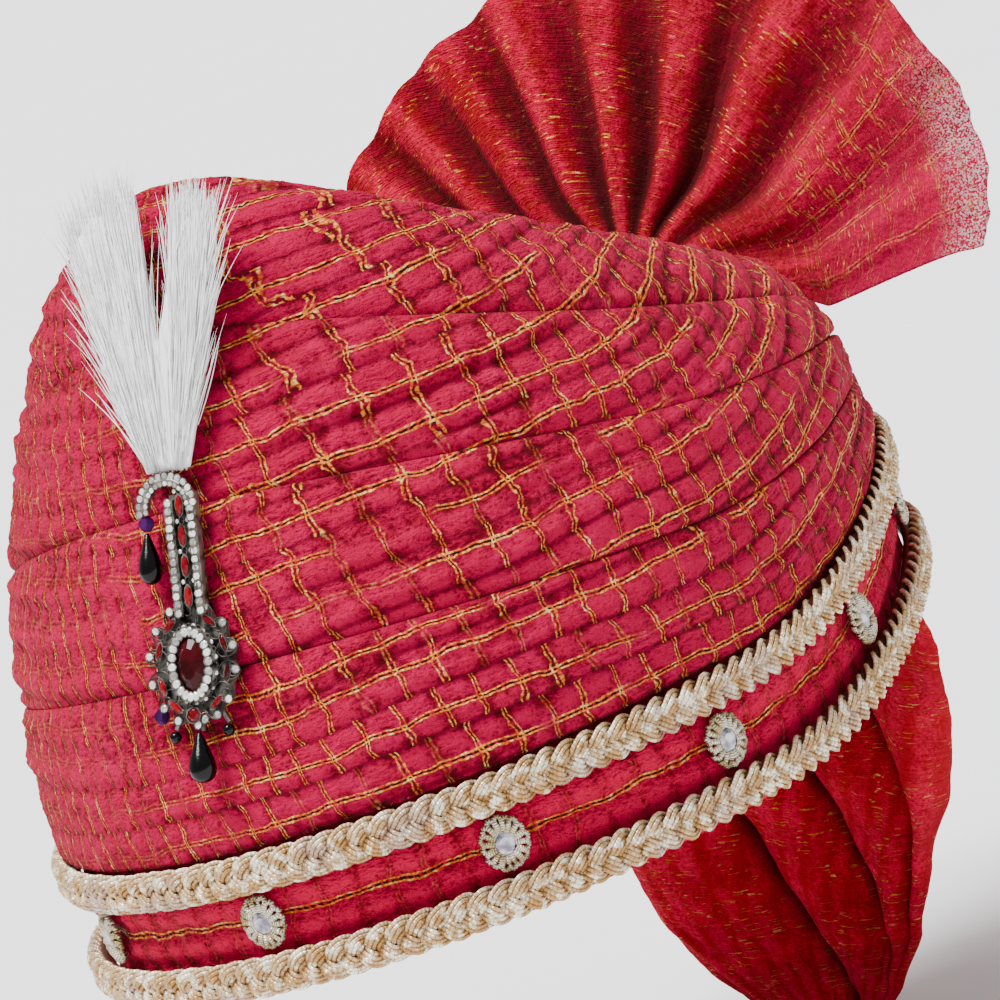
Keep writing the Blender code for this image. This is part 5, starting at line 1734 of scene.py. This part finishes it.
class TURBAN_OT_plume(bpy.types.Operator):
    """Grows the white plume from its two tufts of fine barbs"""
    bl_idname = "turban.plume"
    bl_label = "Plume"

    def execute(self, context):
        settings = context.scene.turban_brooch
        rng = np.random.default_rng(21)
        place = brooch_place()
        start = (
            PLATE_HALF_HEIGHT + STEM_LENGTH - HOOK_RADIUS * 0.4 + HOOK_RADIUS * 0.95 + RAIL_WIRE + 2 * GAP
        )
        centre = Vector((STEM_OFFSET - HOOK_RADIUS * 0.45, start, PLATE_THICKNESS * 0.9))
        stand = place @ Matrix.Translation(centre) @ Matrix.Rotation(-PLUME_LEAN, 4, "X")
        base = 0.075 * PLUME_LENGTH
        locks = len(PLUME_LOCKS)
        tips_across, tips_up = np.array(PLUME_LOCKS).T
        taper_shares = [0.8, 1.0, 0.7, 0.15]
        steps = 7
        part = np.linspace(0, 1, steps)
        paths = []
        tints = []
        widths = []
        for barb in range(settings.barbs):
            lock = rng.uniform(0, 5) if barb % 10 < 6 else rng.uniform(6, locks - 1)
            tip = np.array([np.interp(lock, np.arange(locks), way) for way in (tips_across, tips_up)])
            tip = tip * PLUME_LENGTH
            spread = 2 * (lock + 0.5) / locks - 1
            foot = np.array([base * spread, -0.0006])
            low = rng.uniform(0.0, 0.72)
            reach = low + rng.uniform(0.26, 0.46)
            loose = rng.normal(0, 1)
            stray = rng.random() < 0.07
            end = min(reach, 1.0 + rng.normal(0, 0.035) - 0.03 * abs(loose))
            shares = low + (end - low) * part
            spine = foot + (tip - foot) * shares[:, None]
            spine[:, 0] += base * 0.9 * spread * shares * (1 - shares)
            across = 0.0010 * loose * (0.4 + 1.0 * part) * (1.1 - 0.3 * shares)
            if (lock < 0.8 or lock > locks - 1.6) and rng.random() < 0.35:
                across = across + (1 if lock > 1 else -1) * rng.uniform(0.0, 0.0045) * part ** 1.6
            if stray:
                across = across * 1.6 + rng.choice([-1, 1]) * 0.0024 * part ** 2
            bend = rng.normal(0, 0.0005) * np.sin(pi * part)
            depth = (
                rng.normal(0, 0.00055) * (1.1 - 0.7 * shares)
                + 0.0007 * np.sin(pi * np.clip(shares, 0, 1)) * rng.uniform(-1, 1)
            )
            paths.append(placed(stand, spine[:, 0] + across + bend, spine[:, 1], depth))
            tints.append(rng.uniform(0, 1))
            widths.append(rng.uniform(0.00010, 0.00021) * np.interp(part, [0, 0.3, 0.75, 1.0], taper_shares))
        made = Finish("soft white feather")
        tint = made.attribute("tint")
        soft = made.noise(60, 2)
        shade = made.plus(made.times(tint, 0.55), made.times(soft, 0.45))
        white = (*settings.feather_colour, 1)
        made.set(Base_Color=made.mix(made.range(shade, 0.25, 0.75), tone(240, 240, 241), white))
        made.set(Roughness=made.range(tint, 0.0, 1.0, 0.70, 0.90, smooth=False))
        made.set(Specular_IOR_Level=0.2)
        made.bump(made.noise(700, 2), 0.3, 0.0004)
        mesh = tube_mesh("plume_barbs", np.array(paths), np.array(widths), 3, tints)
        outward(mesh)
        barbs = show_mesh("plume_barbs", mesh, made.material)

        tips = [
            (-0.30, 0.78), (-0.24, 0.86), (-0.16, 0.86), (-0.09, 0.80), (-0.01, 0.40), (0.08, 0.76),
            (0.14, 0.80), (0.20, 0.70)
        ]
        fine = np.linspace(0, len(tips) - 1, DOWN_COLUMNS)
        tip_x = np.interp(fine, np.arange(len(tips)), [tip[0] for tip in tips])
        tip_y = np.interp(fine, np.arange(len(tips)), [tip[1] for tip in tips])
        spread = np.linspace(-1, 1, DOWN_COLUMNS)
        rows = []
        for along in np.linspace(0, 1, DOWN_ROWS):
            x = (
                base * 1.08 * spread * (1 - along) + tip_x * PLUME_LENGTH * along
                + base * 0.9 * spread * along * (1 - along)
            )
            y = tip_y * PLUME_LENGTH * along
            lump = 0.0004 * np.sin(fine * 5.3) * along * (1 - 0.6 * along)
            rows.append(placed(stand, x, y, lump))
        weave = np.zeros((DOWN_ROWS, DOWN_COLUMNS, 2))
        down_mesh = grid_mesh("plume_down", np.array(rows), weave, 1.0, 1.0, False, False)
        point_values(down_mesh, tint=np.tile(0.5 + 0.4 * np.sin(fine * 7.0), DOWN_ROWS))
        down = show_mesh("plume_down", down_mesh, made.material)
        apply_modifier(down, "SOLIDIFY", thickness=0.0007, offset=0.0)
        outward(down.data)
        dress(barbs, "feather", "feather_plume")
        dress(down, "feather")
        return {"FINISHED"}


# Stage


VIEW_AROUND = radians(34.55)
VIEW_ABOVE = radians(8.56)
VIEW_ROLL = radians(20.62)
VIEW_DISTANCE = 1.3
VIEW_LENS = 204.56
FLOOR_SIZE = 80
FLOOR_HEIGHT = -0.0985


class TURBAN_OT_stage(bpy.types.Operator):
    """Sets the camera, the floor and the soft light"""
    bl_idname = "turban.stage"
    bl_label = "Camera, floor and light"

    def execute(self, context):
        settings = context.scene.turban_stage
        scene = context.scene
        level = cos(VIEW_ABOVE)
        back = Vector((sin(VIEW_AROUND) * level, -cos(VIEW_AROUND) * level, sin(VIEW_ABOVE)))
        right = Vector((cos(VIEW_AROUND), sin(VIEW_AROUND), 0))
        up = back.cross(right)
        across = right * cos(VIEW_ROLL) - up * sin(VIEW_ROLL)
        upright = right * sin(VIEW_ROLL) + up * cos(VIEW_ROLL)
        target = Vector((0, 0, 0.007)) - across * 0.0059 + upright * 0.0629
        camera_data = bpy.data.cameras.new("view")
        camera_data.lens = VIEW_LENS
        camera_data.sensor_width = 36
        camera_data.clip_end = 50
        camera = bpy.data.objects.new("view", camera_data)
        scene.collection.objects.link(camera)
        facing = Matrix((across, upright, back)).transposed().to_4x4()
        camera.matrix_world = Matrix.Translation(target + back * VIEW_DISTANCE) @ facing
        scene.camera = camera

        select_none()
        bpy.ops.mesh.primitive_plane_add(size=FLOOR_SIZE, location=(0, 0, FLOOR_HEIGHT))
        floor = context.object
        floor.name = "floor"
        plain = Finish("plain pale floor")
        grain = plain.noise(4, 2)
        low = tuple(value * 0.985 for value in settings.floor_colour) + (1.0,)
        plain.set(Base_Color=plain.mix(grain, low, (*settings.floor_colour, 1)))
        plain.set(Roughness=plain.range(grain, 0.3, 0.7, 0.85, 0.95, smooth=False))
        floor.data.materials.append(plain.material)

        key_data = bpy.data.lights.new("key", "SUN")
        key_data.energy = settings.key_strength
        key_data.angle = radians(28)
        key = bpy.data.objects.new("key", key_data)
        scene.collection.objects.link(key)
        way = back * 0.50 - across * 0.92 + upright * 1.30
        key.rotation_euler = way.to_track_quat("Z", "Y").to_euler()
        world = bpy.data.worlds.new("soft surroundings")
        scene.world = world
        world.use_nodes = True
        sky = world.node_tree.nodes["Background"]
        sky.inputs[0].default_value = (1.0, 1.0, 1.0, 1.0)
        sky.inputs[1].default_value = settings.sky_strength
        return {"FINISHED"}


class TURBAN_PT_panel(bpy.types.Panel):
    """Lists the turban's pieces and their settings"""
    bl_label = "Tied turban"
    bl_idname = "TURBAN_PT_panel"
    bl_space_type = "VIEW_3D"
    bl_region_type = "UI"
    bl_category = "Turban"

    def draw(self, context):
        column = self.layout.column()
        for operator in OPERATORS:
            column.operator(operator.bl_idname)
        for group in ("turban_cloth", "turban_trim", "turban_brooch", "turban_stage"):
            settings = getattr(context.scene, group)
            for name in settings.__annotations__:
                column.prop(settings, name)


SETTINGS = (
    ("turban_cloth", TurbanClothSettings),
    ("turban_trim", TurbanTrimSettings),
    ("turban_brooch", TurbanBroochSettings),
    ("turban_stage", TurbanStageSettings),
)
OPERATORS = (
    TURBAN_OT_rim_band,
    TURBAN_OT_wrap_turns,
    TURBAN_OT_top_cloth,
    TURBAN_OT_fan,
    TURBAN_OT_tail,
    TURBAN_OT_braids,
    TURBAN_OT_flowers,
    TURBAN_OT_brooch,
    TURBAN_OT_plume,
    TURBAN_OT_stage,
)


def register():
    for name, group in SETTINGS:
        bpy.utils.register_class(group)
        setattr(bpy.types.Scene, name, PointerProperty(type=group))
    for kind in (*OPERATORS, TURBAN_PT_panel):
        bpy.utils.register_class(kind)


def unregister():
    for kind in reversed((*OPERATORS, TURBAN_PT_panel)):
        bpy.utils.unregister_class(kind)
    for name, group in reversed(SETTINGS):
        delattr(bpy.types.Scene, name)
        bpy.utils.unregister_class(group)


def main():
    """Dresses the frame."""
    register()
    bpy.ops.turban.rim_band()
    bpy.ops.turban.wrap_turns()
    bpy.ops.turban.top_cloth()
    bpy.ops.turban.fan()
    bpy.ops.turban.tail()
    bpy.ops.turban.braids()
    bpy.ops.turban.flowers()
    bpy.ops.turban.brooch()
    bpy.ops.turban.plume()
    bpy.ops.turban.stage()


if __name__ == "__main__":
    main()
